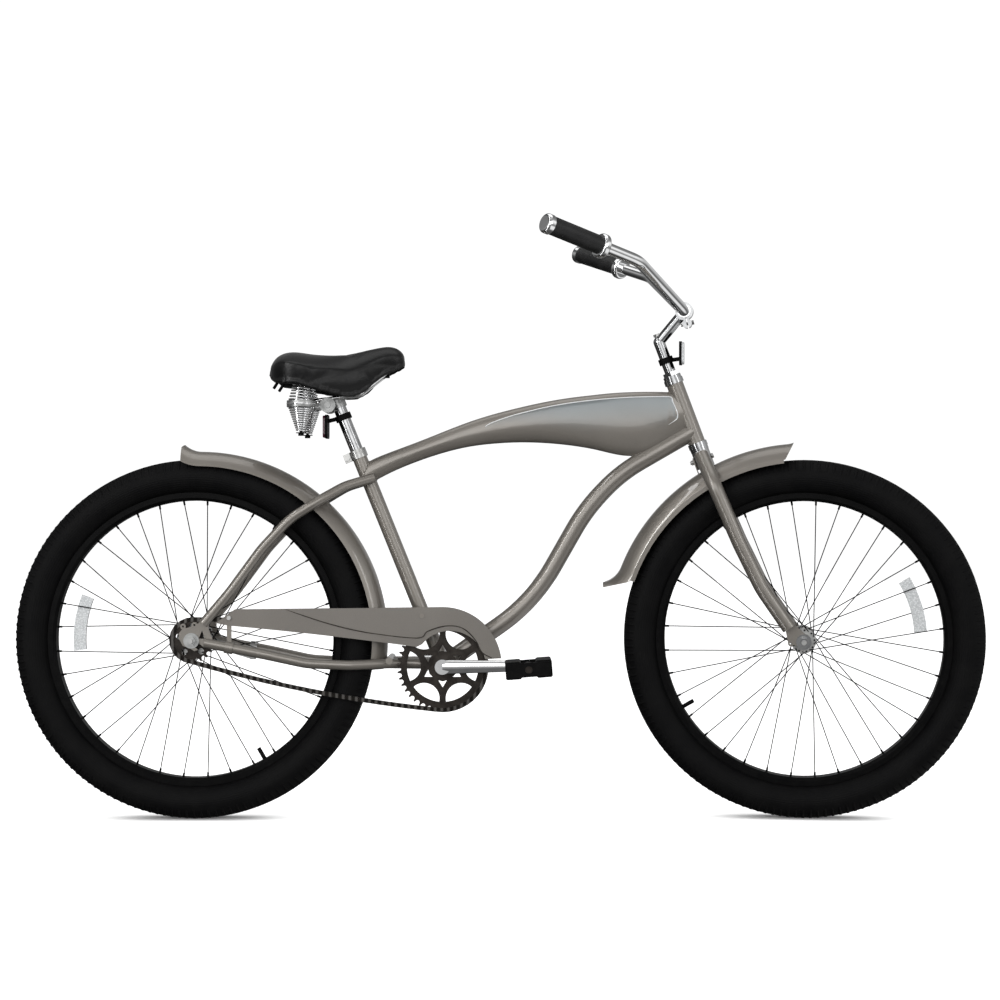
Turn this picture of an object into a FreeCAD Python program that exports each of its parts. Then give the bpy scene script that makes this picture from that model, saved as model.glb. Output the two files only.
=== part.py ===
"""Beach cruiser bicycle with balloon tyres, a tank top tube, fenders and a coaster brake.

Millimetres. +X is forward, +Y is the rider's left, +Z is up. The origin lies on the ground midway between
the axles. The front assembly is modelled straight ahead and then turned about the steering axis to its
rest turn.
"""
import FreeCAD, Part
import math
import os

V = FreeCAD.Vector

# Stance
WHEELBASE = 1187.0
BRACKET_X = -109.5
BRACKET_HEIGHT = 300.0
SEAT_ANGLE = 68.0
SEAT_TUBE_LENGTH = 452.0
SEAT_POST_DATUM = 443.0
HEAD_ANGLE = 69.3
HEAD_LOW_X = 386.5
HEAD_LOW_Z = 733.6
HEAD_TUBE_LENGTH = 123.0
STEER_TURN = -7.0

# Fits
RUNNING_FIT = 0.06
SEAT_GAP = 0.3

# Wheels
TYRE_RADIUS = 350.0
TYRE_HALF_WIDTH = 37.0
TYRE_WALL = 4.0
TREAD_THICKNESS = 5.5
BEAD_SEAT_RADIUS = 279.5
BEAD_WIDTH = 4.3
RIM_INNER_RADIUS = 270.0
RIM_BED = 2.5
RIM_HALF_WIDTH = 17.8
RIM_WALL = 2.2
RIM_LIP = 6.5
RIM_BED_HALF_WIDTH = 13.0
RIM_WELL_HALF_WIDTH = 9.0
TUBE_WALL = 1.5
VALVE_RADIUS = 4.0
VALVE_LENGTH = 24.0
VALVE_BORE = 1.2
SPOKE_COUNT = 36
SPOKE_CROSSES = 3
SPOKE_PHASE = 5.0
SPOKE_RADIUS = 1.0
SPOKE_HEAD_RADIUS = 1.9
SPOKE_HEAD = 1.2
SPOKE_PLAY = 0.15
SPOKE_STAND_OFF = 1.9
SPOKE_OFFSET_AT_RIM = 2.5
NIPPLE_RADIUS = 2.0
NIPPLE_LENGTH = 9.0
NIPPLE_HEAD_RADIUS = 2.9
NIPPLE_HEAD = 2.0
FLANGE = 2.5
FRONT_FLANGE_RADIUS = 24.5
FRONT_FLANGE_Y = 32.0
FRONT_BARREL_RADIUS = 14.5
REAR_FLANGE_RADIUS = 33.0
REAR_FLANGE_Y = 28.0
REAR_BARREL_RADIUS = 24.5
FLANGE_HOLE_INSET = 3.6
FRONT_VALVE_ANGLE = 210.0
REAR_VALVE_ANGLE = 300.0
WHEEL_REFLECTOR_LENGTH = 106.0
WHEEL_REFLECTOR_WIDTH = 24.0
WHEEL_REFLECTOR_THICKNESS = 8.6
REAR_REFLECTOR_ANGLE = 172.0
FRONT_REFLECTOR_ANGLE = 17.5
WHEEL_REFLECTOR_RADIUS = 226.0

# Axles and hubs
FRONT_AXLE_RADIUS = 4.75
REAR_AXLE_RADIUS = 5.0
FRONT_DROPOUT_INNER = 50.0
REAR_DROPOUT_INNER = 55.0
TIP_THICKNESS = 5.0
DROPOUT_THICKNESS = 6.0
NUT_HEIGHT = 8.0
NUT_RADIUS = 9.5
WASHER_RADIUS = 15.0
WASHER = 1.6
AXLE_OVERHANG = 9.0
AXLE_STUB_RADIUS = 4.7
HUB_BALL_RADIUS = 2.38
HUB_BALLS = 10
FRONT_CONE_RADIUS = 7.0
REAR_CONE_RADIUS = 16.2
REAR_HUB_BORE = 21.2

# Frame tubes
HEAD_TUBE_RADIUS = 16.5
SEAT_TUBE_RADIUS = 14.3
DOWN_TUBE_RADIUS = 17.3
STAY_RADIUS = 9.5
TUBE_SKIN = 1.5
BRACKET_RADIUS = 29.0
BRACKET_BORE = 25.65
BRACKET_WIDTH = 68.0
STAY_SPREAD = 60.0
SEAT_STAY_TOP_SPREAD = 21.0
CHAIN_STAY_FRONT_SPREAD = 23.5
BRIDGE_RADIUS = 7.0
EYELET_RADIUS = 5.5
EYELET_BORE = 2.1

# Headset and fork
STEERER_RADIUS = 12.7
STEERER_BORE = 11.2
CUP_RADIUS = 19.0
CUP_HEIGHT = 10.0
CUP_SKIRT = 12.0
RACE_HEIGHT = 7.0
LOCKNUT_HEIGHT = 7.0
HEADSET_BALL_RADIUS = 1.98
HEADSET_BALLS = 20
CROWN_RADIUS = 17.5
CROWN_HEIGHT = 34.0
BLADE_RADIUS = 14.3
BLADE_SPREAD = 59.5
BLADE_TIP_SPREAD = 54.0
BLADE_BEND_RADIUS = 45.0

# Handlebar and stem
STEM_RADIUS = 11.1
STEM_INSERT = 95.0
STEM_ELBOW_Z = 930.0
STEM_ARM_RADIUS = 10.2
EXPANDER_HEAD = 7.0
BAR_CLAMP_X = 361.6
BAR_CLAMP_Z = 989.4
CLAMP_RADIUS = 17.5
CLAMP_LENGTH = 44.0
CLAMP_SLIT = 3.0
BAR_RADIUS = 11.1
BAR_WALL = 2.0
BAR_CENTRE_RADIUS = 12.7
BAR_CENTRE_LENGTH = 64.0
BAR_FLAT_Y = 40.0
BAR_BEND = (284.0, 238.0, 1071.5)
GRIP_END = (131.0, 368.0, 1129.0)
BAR_BEND_RADIUS = 65.0
GRIP_RADIUS = 17.2
GRIP_LENGTH = 112.0
GRIP_CAP_RADIUS = 18.6
GRIP_CAP_LENGTH = 14.0
GRIP_COLLAR_RADIUS = 23.0
GRIP_COLLAR_LENGTH = 15.0

# Drive
CHAIN_PITCH = 12.7
RING_TEETH = 42
SPROCKET_TEETH = 20
CHAIN_Y = -45.0
TOOTH_THICKNESS = 2.4
TOOTH_HEIGHT = 3.2
ROLLER_RADIUS = 3.9
SEAT_RADIUS = 4.1
PLATE_RADIUS = 4.1
PLATE = 0.9
PLATE_GAP = 1.75
PIN_RADIUS = 1.8
PIN_OVERHANG = 0.7
RING_BAND_INNER = 69.0
RING_HUB_RADIUS = 26.0
PETALS = 6
PETAL_RADIUS = 30.0
PETAL_CENTRE = 72.0
CRANK_LENGTH = 165.0
CRANK_ANGLE = 1.0
SPINDLE_RADIUS = 12.0
CRANK_BOSS_RADIUS = 14.5
CRANK_EYE_RADIUS = 11.5
CRANK_ROOT_Y = 66.0
CRANK_EYE_Y = 80.0
CRANK_EYE_WIDTH = 13.0
BRACKET_BALL_RADIUS = 3.17
BRACKET_BALLS = 9
BRACKET_CONE_RADIUS = 15.35
BRACKET_CONE_DEPTH = 4.5
PEDAL_LENGTH = 88.0
PEDAL_HEIGHT = 33.0
PEDAL_WIDTH = 92.0
PEDAL_PLATE = 4.0
PEDAL_TUBE_RADIUS = 10.5
PEDAL_SPINDLE_RADIUS = 6.9
PEDAL_TILT = 4.5
PEDAL_TREAD = 30.0

# Chain guard
GUARD_Y = -57.0
GUARD_SHEET = 1.2
GUARD_EMBOSS = 1.0
GUARD_RADIUS = 114.5
GUARD_WINDOW_RADIUS = 69.0
GUARD_WINDOW_SHIFT = 14.5
GUARD_LIP = 15.5

# Fenders
FENDER_HALF_WIDTH = 39.5
FENDER_DEPTH = 29.0
FENDER_SHEET = 1.2
REAR_FENDER_RADIUS = 366.0
REAR_FENDER_SHIFT = 10.0
FRONT_FENDER_RADIUS = 382.0
FLARE_RADIUS = 50.0
FENDER_NOTCH = 1.0
FENDER_BOLT_RADIUS = 2.5

# Seat
POST_RADIUS = 12.7
POST_TOP_RADIUS = 11.1
POST_INSERT = 130.0
POST_EXPOSED = 122.0
POST_NECK = 24.0
SEAT_COLLAR_RADIUS = 17.2
SEAT_COLLAR_HEIGHT = 17.0
SADDLE_CLAMP_BEHIND = 18.0
SADDLE_CLAMP_RADIUS = 15.0
CLAMP_BOSS_HALF = 15.7
RAIL_RADIUS = 3.5
RAIL_HALF_SPREAD = 22.0
SPRING_X = -381.0
SPRING_Y = 70.0
SPRING_RING_Z = 806.0
SPRING_RING_RADIUS = 24.5
SPRING_WIRE_RADIUS = 2.0
SPRING_LEAD_RISE = 0.35
LOWER_SPRING_TURNS = 7
LOWER_SPRING_BOTTOM = 754.0
LOWER_SPRING_END_RADIUS = 8.0
UPPER_SPRING_TURNS = 4
UPPER_SPRING_END_RADIUS = 14.0
SPRING_SEAT_Z = 846.0
SPRING_BOLT_RADIUS = 3.0
NOSE_PIVOT_X = -222.0
NOSE_PIVOT_Z = 866.0
NOSE_PIVOT_HALF = 14.0
COVER_SKIRT = 9.0
PAN_SHEET = 3.0

# Worked-out places
Y_AXIS = V(0, 1, 0)
REAR_AXLE = V(-WHEELBASE / 2, 0, TYRE_RADIUS)
FRONT_AXLE = V(WHEELBASE / 2, 0, TYRE_RADIUS)
BRACKET = V(BRACKET_X, 0, BRACKET_HEIGHT)
SEAT_UP = V(-math.cos(math.radians(SEAT_ANGLE)), 0, math.sin(math.radians(SEAT_ANGLE)))
HEAD_UP = V(-math.cos(math.radians(HEAD_ANGLE)), 0, math.sin(math.radians(HEAD_ANGLE)))
HEAD_LOW = V(HEAD_LOW_X, 0, HEAD_LOW_Z)
SEAT_TOP = BRACKET + SEAT_UP * SEAT_TUBE_LENGTH
HUB_BALL_CIRCLE = FRONT_CONE_RADIUS + RUNNING_FIT + HUB_BALL_RADIUS
REAR_BALL_CIRCLE = REAR_CONE_RADIUS + RUNNING_FIT + HUB_BALL_RADIUS
BAR_CLAMP = V(BAR_CLAMP_X, 0, BAR_CLAMP_Z)
PEDAL_START_Y = CRANK_EYE_Y + CRANK_EYE_WIDTH / 2 + 6.0
RING_RADIUS = CHAIN_PITCH / (2 * math.sin(math.pi / RING_TEETH))
SPROCKET_RADIUS = CHAIN_PITCH / (2 * math.sin(math.pi / SPROCKET_TEETH))


# Shape helpers

def save(name, solids, turned=False):
    """Write one node; the pieces of the front assembly are turned to their rest turn."""
    placed = [solid.copy() for solid in solids]
    if turned:
        for solid in placed:
            solid.rotate(HEAD_LOW, HEAD_UP, STEER_TURN)
    shape = placed[0] if len(placed) == 1 else Part.makeCompound(placed)
    shape.exportStep("parts/%s.step" % name)


def on_side(point, side):
    """The same point on the left (1) or right (-1) side."""
    return V(point.x, side * abs(point.y), point.z)


def rod(start, direction, radius, length):
    """Solid cylinder from a point along a direction."""
    return Part.makeCylinder(radius, length, start, direction)


def ring(start, direction, outer, bore, length):
    """Cylinder with a bore right through."""
    return rod(start, direction, outer, length).cut(rod(start, direction, bore, length))


def across(centre, y_from, y_to, radius):
    """Cylinder along Y between two values of Y."""
    low = min(y_from, y_to)
    return rod(V(centre.x, low, centre.z), Y_AXIS, radius, abs(y_to - y_from))


def ring_across(centre, y_from, y_to, outer, bore):
    """Ring along Y between two values of Y."""
    return across(centre, y_from, y_to, outer).cut(across(centre, y_from, y_to, bore))


def polar(centre, radius, degrees, y=0.0):
    """Point in a wheel's plane, with the angle from +X towards +Z."""
    angle = math.radians(degrees)
    return V(centre.x + radius * math.cos(angle), y, centre.z + radius * math.sin(angle))


def line(first, last):
    """Straight edge."""
    return Part.LineSegment(first, last).toShape()


def arc(first, middle, last):
    """Round edge through three points."""
    return Part.Arc(first, middle, last).toShape()


def closed_face(points):
    """Flat face inside a polygon."""
    return Part.Face(Part.makePolygon(points + points[:1]))


def bent_wire(points, radii):
    """Straight runs joined by tangent arcs at the inner points."""
    edges = []
    start = points[0]
    for before, corner, after, radius in zip(points, points[1:], points[2:], radii):
        arrive = (corner - before).normalize()
        leave = (after - corner).normalize()
        half_turn = arrive.getAngle(leave) / 2
        reach = radius * math.tan(half_turn)
        first = corner - arrive * reach
        last = corner + leave * reach
        inside = (leave - arrive).normalize()
        edges.append(line(start, first))
        edges.append(arc(first, corner + inside * (radius / math.cos(half_turn) - radius), last))
        start = last
    edges.append(line(start, points[-1]))
    return Part.Wire(edges)


def swept(points, radii, radius):
    """Round bar along a bent path."""
    profile = Part.Wire(Part.Circle(points[0], points[1] - points[0], radius).toShape())
    return bent_wire(points, radii).makePipeShell([profile], True, False)


def swept_tube(points, radii, radius, wall):
    """Hollow tube along a bent path."""
    return swept(points, radii, radius).cut(swept(points, radii, radius - wall))


def hexagon(centre, direction, corner_radius, height):
    """Hexagonal prism from a point along a direction."""
    side_way = direction.cross(V(0, 0, 1))
    if side_way.Length < 0.1:
        side_way = direction.cross(V(1, 0, 0))
    side_way.normalize()
    other_way = V(direction).normalize().cross(side_way)
    corners = []
    for step in range(6):
        angle = math.radians(60 * step)
        corner = side_way * math.cos(angle) + other_way * math.sin(angle)
        corners.append(centre + corner * corner_radius)
    return closed_face(corners).extrude(V(direction).normalize() * height)


def turned_about(shape, centre, degrees):
    """Copy turned about a line along Y, with positive angles from +X towards +Z."""
    copy = shape.copy()
    copy.rotate(centre, Y_AXIS, -degrees)
    return copy


def fused(shapes):
    """One solid from overlapping shapes."""
    return shapes[0].multiFuse(shapes[1:]).removeSplitter()


def ball_ring(centre, direction, circle, ball, count):
    """Separate balls evenly round an axis."""
    first = direction.cross(V(0.3, 0.5, 0.8)).normalize() * circle
    balls = []
    for step in range(count):
        spot = FreeCAD.Rotation(direction, 360.0 * step / count).multVec(first)
        balls.append(Part.makeSphere(ball, centre + spot))
    return balls


# Wheels

def tyre_profile(half_width, half_height, bead_outer, bead_foot):
    """Section of the tyre from bead to bead, half an oval on its rim."""
    middle = (BEAD_SEAT_RADIUS + TYRE_RADIUS) / 2

    def oval(degrees, wide, high):
        angle = math.radians(degrees)
        return V(0, wide * math.cos(angle), middle + high * math.sin(angle))

    def oval_foot(y, wide, high):
        return V(0, y, middle - high * math.sqrt(1 - (y / wide) ** 2))

    inner_wide = half_width - TYRE_WALL
    inner_high = half_height - TREAD_THICKNESS
    bead_inner = bead_outer - BEAD_WIDTH
    edges = []
    right_foot = V(0, bead_outer, BEAD_SEAT_RADIUS + RIM_LIP + 2 * SEAT_GAP)
    left_foot = V(0, -right_foot.y, right_foot.z)
    edges.append(arc(right_foot, oval(-10, half_width, half_height), oval(45, half_width, half_height)))
    edges.append(arc(oval(45, half_width, half_height), oval(90, half_width, half_height),
                     oval(135, half_width, half_height)))
    edges.append(arc(oval(135, half_width, half_height), oval(190, half_width, half_height), left_foot))
    right_inner = oval_foot(bead_inner, inner_wide, inner_high)
    left_inner = V(0, -right_inner.y, right_inner.z)
    edges.append(line(left_foot, V(0, -bead_outer, bead_foot)))
    edges.append(line(V(0, -bead_outer, bead_foot), V(0, -bead_inner, bead_foot)))
    edges.append(line(V(0, -bead_inner, bead_foot), left_inner))
    edges.append(arc(left_inner, oval(190, inner_wide, inner_high), oval(135, inner_wide, inner_high)))
    edges.append(arc(oval(135, inner_wide, inner_high), oval(90, inner_wide, inner_high),
                     oval(45, inner_wide, inner_high)))
    edges.append(arc(oval(45, inner_wide, inner_high), oval(-10, inner_wide, inner_high), right_inner))
    edges.append(line(right_inner, V(0, bead_inner, bead_foot)))
    edges.append(line(V(0, bead_inner, bead_foot), V(0, bead_outer, bead_foot)))
    edges.append(line(V(0, bead_outer, bead_foot), right_foot))
    return Part.Face(Part.Wire(edges))


def about_axle(face):
    """Turn a section once round the wheel's own axis at the origin."""
    return face.revolve(V(0, 0, 0), Y_AXIS, 360)


def make_tyre():
    """Balloon tyre on its bead seats."""
    half_height = (TYRE_RADIUS - BEAD_SEAT_RADIUS) / 2
    bead_outer = RIM_HALF_WIDTH - RIM_WALL - SEAT_GAP
    return about_axle(tyre_profile(TYRE_HALF_WIDTH, half_height, bead_outer, BEAD_SEAT_RADIUS + SEAT_GAP))


def make_inner_tube(valve_angle):
    """Air tube inside the tyre, with the valve through the rim."""
    middle = (BEAD_SEAT_RADIUS + TYRE_RADIUS) / 2
    wide = TYRE_HALF_WIDTH - TYRE_WALL - SEAT_GAP
    high = (TYRE_RADIUS - BEAD_SEAT_RADIUS) / 2 - TREAD_THICKNESS - SEAT_GAP

    def oval_ring(inset):
        centre = V(0, 0, middle)
        curve = Part.Ellipse(V(0, wide - inset, middle), V(0, 0, middle + high - inset), centre)
        return about_axle(Part.Face(Part.Wire(curve.toShape())))

    inward = polar(V(0, 0, 0), 1, valve_angle) * -1
    valve_start = polar(V(0, 0, 0), middle - high + TUBE_WALL / 2, valve_angle)
    valve_end_radius = RIM_INNER_RADIUS - VALVE_LENGTH
    valve = rod(valve_start, inward, VALVE_RADIUS, middle - high + TUBE_WALL / 2 - valve_end_radius)
    air_way = rod(polar(V(0, 0, 0), middle, valve_angle), inward, VALVE_BORE, middle - valve_end_radius)
    return oval_ring(0).fuse(valve).cut(oval_ring(TUBE_WALL)).cut(air_way)


def make_rim(valve_angle, holes):
    """Single-wall rim with nipple holes and a valve hole."""
    lip_top = BEAD_SEAT_RADIUS + RIM_LIP
    inner_wall = RIM_HALF_WIDTH - RIM_WALL
    half = [
        V(0, RIM_WELL_HALF_WIDTH, RIM_INNER_RADIUS + RIM_BED),
        V(0, RIM_WELL_HALF_WIDTH + 2, BEAD_SEAT_RADIUS),
        V(0, inner_wall, BEAD_SEAT_RADIUS),
        V(0, inner_wall, lip_top),
        V(0, RIM_HALF_WIDTH, lip_top),
        V(0, RIM_HALF_WIDTH, RIM_INNER_RADIUS + 6),
        V(0, RIM_BED_HALF_WIDTH, RIM_INNER_RADIUS),
    ]
    other_half = [V(0, -point.y, point.z) for point in reversed(half)]
    rim = about_axle(closed_face(half + other_half))
    depth = RIM_BED + 8
    cutters = []
    for angle, y in holes:
        start = polar(V(0, 0, 0), RIM_INNER_RADIUS - 4, angle, y)
        cutters.append(rod(start, polar(V(0, 0, 0), 1, angle), NIPPLE_RADIUS + SEAT_GAP, depth))
    start = polar(V(0, 0, 0), RIM_INNER_RADIUS - 4, valve_angle)
    cutters.append(rod(start, polar(V(0, 0, 0), 1, valve_angle), VALVE_RADIUS + SEAT_GAP, depth))
    return rim.cut(Part.makeCompound(cutters))


def spoke_layout():
    """Hub angle, rim angle, side and face of the flange of every spoke."""
    step = 720.0 / SPOKE_COUNT
    layout = []
    for side in (-1, 1):
        shift = step / 2 if side > 0 else 0.0
        for index in range(SPOKE_COUNT // 2):
            lead = 1 if index % 2 else -1
            hub_angle = SPOKE_PHASE + shift + step * index
            layout.append((hub_angle, hub_angle + lead * SPOKE_CROSSES * step, side, lead))
    return layout


def make_spokes(flange_radius, flange_y):
    """Laced spokes with an elbow through the flange, and their nipples."""
    hole_circle = flange_radius - FLANGE_HOLE_INSET
    solids = []
    for hub_angle, rim_angle, side, lead in spoke_layout():
        stand_off = SPOKE_STAND_OFF if lead > 0 else 0.0
        face_y = side * (flange_y + lead * (FLANGE / 2 + SPOKE_RADIUS + SPOKE_PLAY + stand_off))
        elbow = polar(V(0, 0, 0), hole_circle, hub_angle, face_y)
        seat = polar(V(0, 0, 0), RIM_INNER_RADIUS + RIM_BED / 2, rim_angle, side * SPOKE_OFFSET_AT_RIM)
        along = (seat - elbow).normalize()
        reach = (seat - elbow).Length
        through = V(0, -side * lead, 0)
        stub = FLANGE + SPOKE_RADIUS + 2 * SPOKE_PLAY + stand_off
        head_start = elbow + through * stub
        spoke = fused([rod(elbow, along, SPOKE_RADIUS, reach), Part.makeSphere(SPOKE_RADIUS, elbow),
                       rod(elbow, through, SPOKE_RADIUS, stub + SPOKE_HEAD / 2),
                       rod(head_start, through, SPOKE_HEAD_RADIUS, SPOKE_HEAD)])
        shank_start = seat - along * NIPPLE_LENGTH
        head_rest = seat + along * (RIM_BED / 2 + 2 * SEAT_GAP)
        nipple = fused([rod(shank_start, along, NIPPLE_RADIUS,
                            (head_rest - shank_start).Length + NIPPLE_HEAD),
                        rod(head_rest, along, NIPPLE_HEAD_RADIUS, NIPPLE_HEAD)])
        solids.append(spoke)
        solids.append(nipple.cut(rod(shank_start, along, SPOKE_RADIUS + RUNNING_FIT, reach)))
    return solids


def hub_turning(half_profile, bore_profile):
    """Hub body turned from (y, radius) outlines."""
    outer = [V(0, y, radius) for y, radius in half_profile]
    first, last = half_profile[0][0], half_profile[-1][0]
    body = about_axle(closed_face([V(0, first, 0)] + outer + [V(0, last, 0)]))
    bore = [V(0, y, radius) for y, radius in bore_profile]
    first, last = bore_profile[0][0], bore_profile[-1][0]
    return body.cut(about_axle(closed_face([V(0, first, 0)] + bore + [V(0, last, 0)])))


def flange_holes(flange_radius, flange_y):
    """Drilled holes for the spoke elbows."""
    drills = []
    for hub_angle, rim_angle, side, lead in spoke_layout():
        spot = polar(V(0, 0, 0), flange_radius - FLANGE_HOLE_INSET, hub_angle)
        drills.append(across(spot, side * (flange_y - FLANGE), side * (flange_y + FLANGE),
                             SPOKE_RADIUS + SEAT_GAP))
    return Part.makeCompound(drills)


def make_front_hub():
    """Front hub shell with a bearing recess at each end."""
    end = FRONT_FLANGE_Y + 6
    recess = HUB_BALL_CIRCLE + HUB_BALL_RADIUS + RUNNING_FIT
    cap = recess + 3.5
    near, far = FRONT_FLANGE_Y - FLANGE / 2, FRONT_FLANGE_Y + FLANGE / 2
    right = [(near, FRONT_BARREL_RADIUS), (near, FRONT_FLANGE_RADIUS), (far, FRONT_FLANGE_RADIUS),
             (far, cap), (end, cap)]
    profile = [(-y, radius) for y, radius in reversed(right)] + right
    floor = FRONT_FLANGE_Y - 4
    bore = [(end, recess), (floor, recess), (floor, FRONT_CONE_RADIUS + 1)]
    bore_profile = [(-y, radius) for y, radius in bore] + list(reversed(bore))
    return hub_turning(profile, bore_profile).cut(flange_holes(FRONT_FLANGE_RADIUS, FRONT_FLANGE_Y))


def make_rear_hub():
    """Coaster hub shell, wide enough for the brake shoes."""
    near, far = REAR_FLANGE_Y - FLANGE / 2, REAR_FLANGE_Y + FLANGE / 2
    right_end, left_end = -36.0, 40.0
    profile = [(right_end, REAR_BARREL_RADIUS), (-far, REAR_BARREL_RADIUS), (-far, REAR_FLANGE_RADIUS),
               (-near, REAR_FLANGE_RADIUS), (-near, REAR_BARREL_RADIUS), (near, REAR_BARREL_RADIUS),
               (near, REAR_FLANGE_RADIUS), (far, REAR_FLANGE_RADIUS), (far, REAR_BARREL_RADIUS),
               (left_end, REAR_BARREL_RADIUS)]
    bore = [(right_end, REAR_HUB_BORE), (left_end, REAR_HUB_BORE)]
    return hub_turning(profile, bore).cut(flange_holes(REAR_FLANGE_RADIUS, REAR_FLANGE_Y))


def make_wheel_reflector(angle):
    """Clear reflector bar lying along the rim, clipped between the spokes."""
    half = math.degrees(WHEEL_REFLECTOR_LENGTH / 2 / WHEEL_REFLECTOR_RADIUS)
    outer = WHEEL_REFLECTOR_RADIUS + WHEEL_REFLECTOR_WIDTH / 2
    inner = WHEEL_REFLECTOR_RADIUS - WHEEL_REFLECTOR_WIDTH / 2
    origin = V(0, 0, 0)
    start_y = -WHEEL_REFLECTOR_THICKNESS / 2
    edges = [arc(polar(origin, outer, angle - half, start_y), polar(origin, outer, angle, start_y),
                 polar(origin, outer, angle + half, start_y)),
             line(polar(origin, outer, angle + half, start_y),
                  polar(origin, inner, angle + half, start_y)),
             arc(polar(origin, inner, angle + half, start_y), polar(origin, inner, angle, start_y),
                 polar(origin, inner, angle - half, start_y)),
             line(polar(origin, inner, angle - half, start_y),
                  polar(origin, outer, angle - half, start_y))]
    return Part.Face(Part.Wire(edges)).extrude(V(0, WHEEL_REFLECTOR_THICKNESS, 0))


def make_wheel(axle, prefix, flange_radius, flange_y, hub, valve_angle, reflector_angle, turned):
    """All rolling pieces of one wheel, moved to its axle."""
    spokes = make_spokes(flange_radius, flange_y)
    holes = [(rim_angle, side * SPOKE_OFFSET_AT_RIM) for _, rim_angle, side, _ in spoke_layout()]
    pieces = {
        "tyre": [make_tyre()],
        "inner_tube": [make_inner_tube(valve_angle)],
        "rim": [make_rim(valve_angle, holes)],
        "spokes": spokes,
        "hub_shell": [hub],
        "wheel_reflector": [make_wheel_reflector(reflector_angle)],
    }
    for name, solids in pieces.items():
        placed = [solid.translated(axle) for solid in solids]
        save("%s_%s" % (prefix, name), placed, turned)


def axle_nuts(axle, axle_radius, plate_outer):
    """Washer and flanged nut on each end of an axle."""
    solids = []
    for side in (-1, 1):
        outward = V(0, side, 0)
        seat = V(axle.x, side * plate_outer, axle.z)
        bore = rod(seat, outward, axle_radius + RUNNING_FIT, NUT_HEIGHT + WASHER)
        solids.append(rod(seat, outward, WASHER_RADIUS, WASHER).cut(bore))
        top = seat + outward * WASHER
        nut = fused([hexagon(top, outward, NUT_RADIUS, NUT_HEIGHT),
                     rod(top, outward, NUT_RADIUS + 1.5, 2.0)])
        solids.append(nut.cut(bore))
    return solids


def make_front_axle():
    """Threaded axle, its two cones and both rings of balls."""
    tip_outer = FRONT_DROPOUT_INNER + TIP_THICKNESS
    reach = tip_outer + WASHER + NUT_HEIGHT + AXLE_OVERHANG / 3
    solids = [across(FRONT_AXLE, -reach, reach, FRONT_AXLE_RADIUS)]
    for side in (-1, 1):
        cone_start = FRONT_FLANGE_Y - 2
        cone = ring_across(FRONT_AXLE, side * cone_start, side * FRONT_DROPOUT_INNER, FRONT_CONE_RADIUS,
                           FRONT_AXLE_RADIUS)
        solids.append(cone)
        centre = V(FRONT_AXLE.x, side * (FRONT_FLANGE_Y + 1), FRONT_AXLE.z)
        solids += ball_ring(centre, Y_AXIS, HUB_BALL_CIRCLE, HUB_BALL_RADIUS, HUB_BALLS)
    return solids


# Frame

def seat_line(distance, y=0.0):
    """Point on the seat tube's axis, measured up from the bracket."""
    point = BRACKET + SEAT_UP * distance
    return V(point.x, y, point.z)


def head_line(distance):
    """Point on the steering axis, measured up from the lower end of the head tube."""
    return HEAD_LOW + HEAD_UP * distance


def head_core():
    """The head tube's outside, used to mitre the tubes that meet it."""
    return rod(HEAD_LOW, HEAD_UP, HEAD_TUBE_RADIUS, HEAD_TUBE_LENGTH)


def seat_core():
    """The seat tube's outside, used to mitre the tubes that meet it."""
    return rod(BRACKET, SEAT_UP, SEAT_TUBE_RADIUS, SEAT_TUBE_LENGTH)


def bracket_core():
    """The bottom bracket shell's outside."""
    return across(BRACKET, -BRACKET_WIDTH / 2, BRACKET_WIDTH / 2, BRACKET_RADIUS)


DOWN_TUBE_PATH = [head_line(24), V(236, 0, 674), V(168, 0, 602), V(66, 0, 423), BRACKET]
DOWN_TUBE_BENDS = [310.0, 370.0, 350.0]


def down_tube_core():
    """S-shaped down tube, solid, for mitres."""
    return swept(DOWN_TUBE_PATH, DOWN_TUBE_BENDS, DOWN_TUBE_RADIUS)


def make_down_tube():
    """S-shaped down tube from the head tube to the bracket shell."""
    tube = down_tube_core().cut(swept(DOWN_TUBE_PATH, DOWN_TUBE_BENDS, DOWN_TUBE_RADIUS - TUBE_SKIN))
    return tube.cut(head_core()).cut(bracket_core()).cut(seat_core())


# Upper edge, lower edge and half width of the tank along its length, in X and Z
TANK_STATIONS = [
    ((-268.0, 688.0), (-254.0, 652.0), 15.8),
    ((-165.0, 733.0), (-151.0, 700.0), 16.0),
    ((-118.0, 751.5), (-106.0, 714.5), 16.6),
    ((-61.0, 773.5), (-50.0, 727.0), 17.6),
    ((-5.0, 791.0), (2.0, 732.5), 19.2),
    ((51.0, 805.0), (56.0, 734.0), 21.0),
    ((107.0, 816.5), (112.0, 731.0), 22.0),
    ((164.0, 824.6), (172.0, 723.0), 22.5),
    ((220.0, 830.5), (234.0, 709.5), 21.5),
    ((276.0, 833.0), (292.0, 714.0), 19.0),
    ((329.0, 832.5), (348.0, 748.0), 16.5),
    ((352.0, 831.0), (374.0, 764.0), 15.4),
]
TANK_SIDE_BULGE = 0.06


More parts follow.
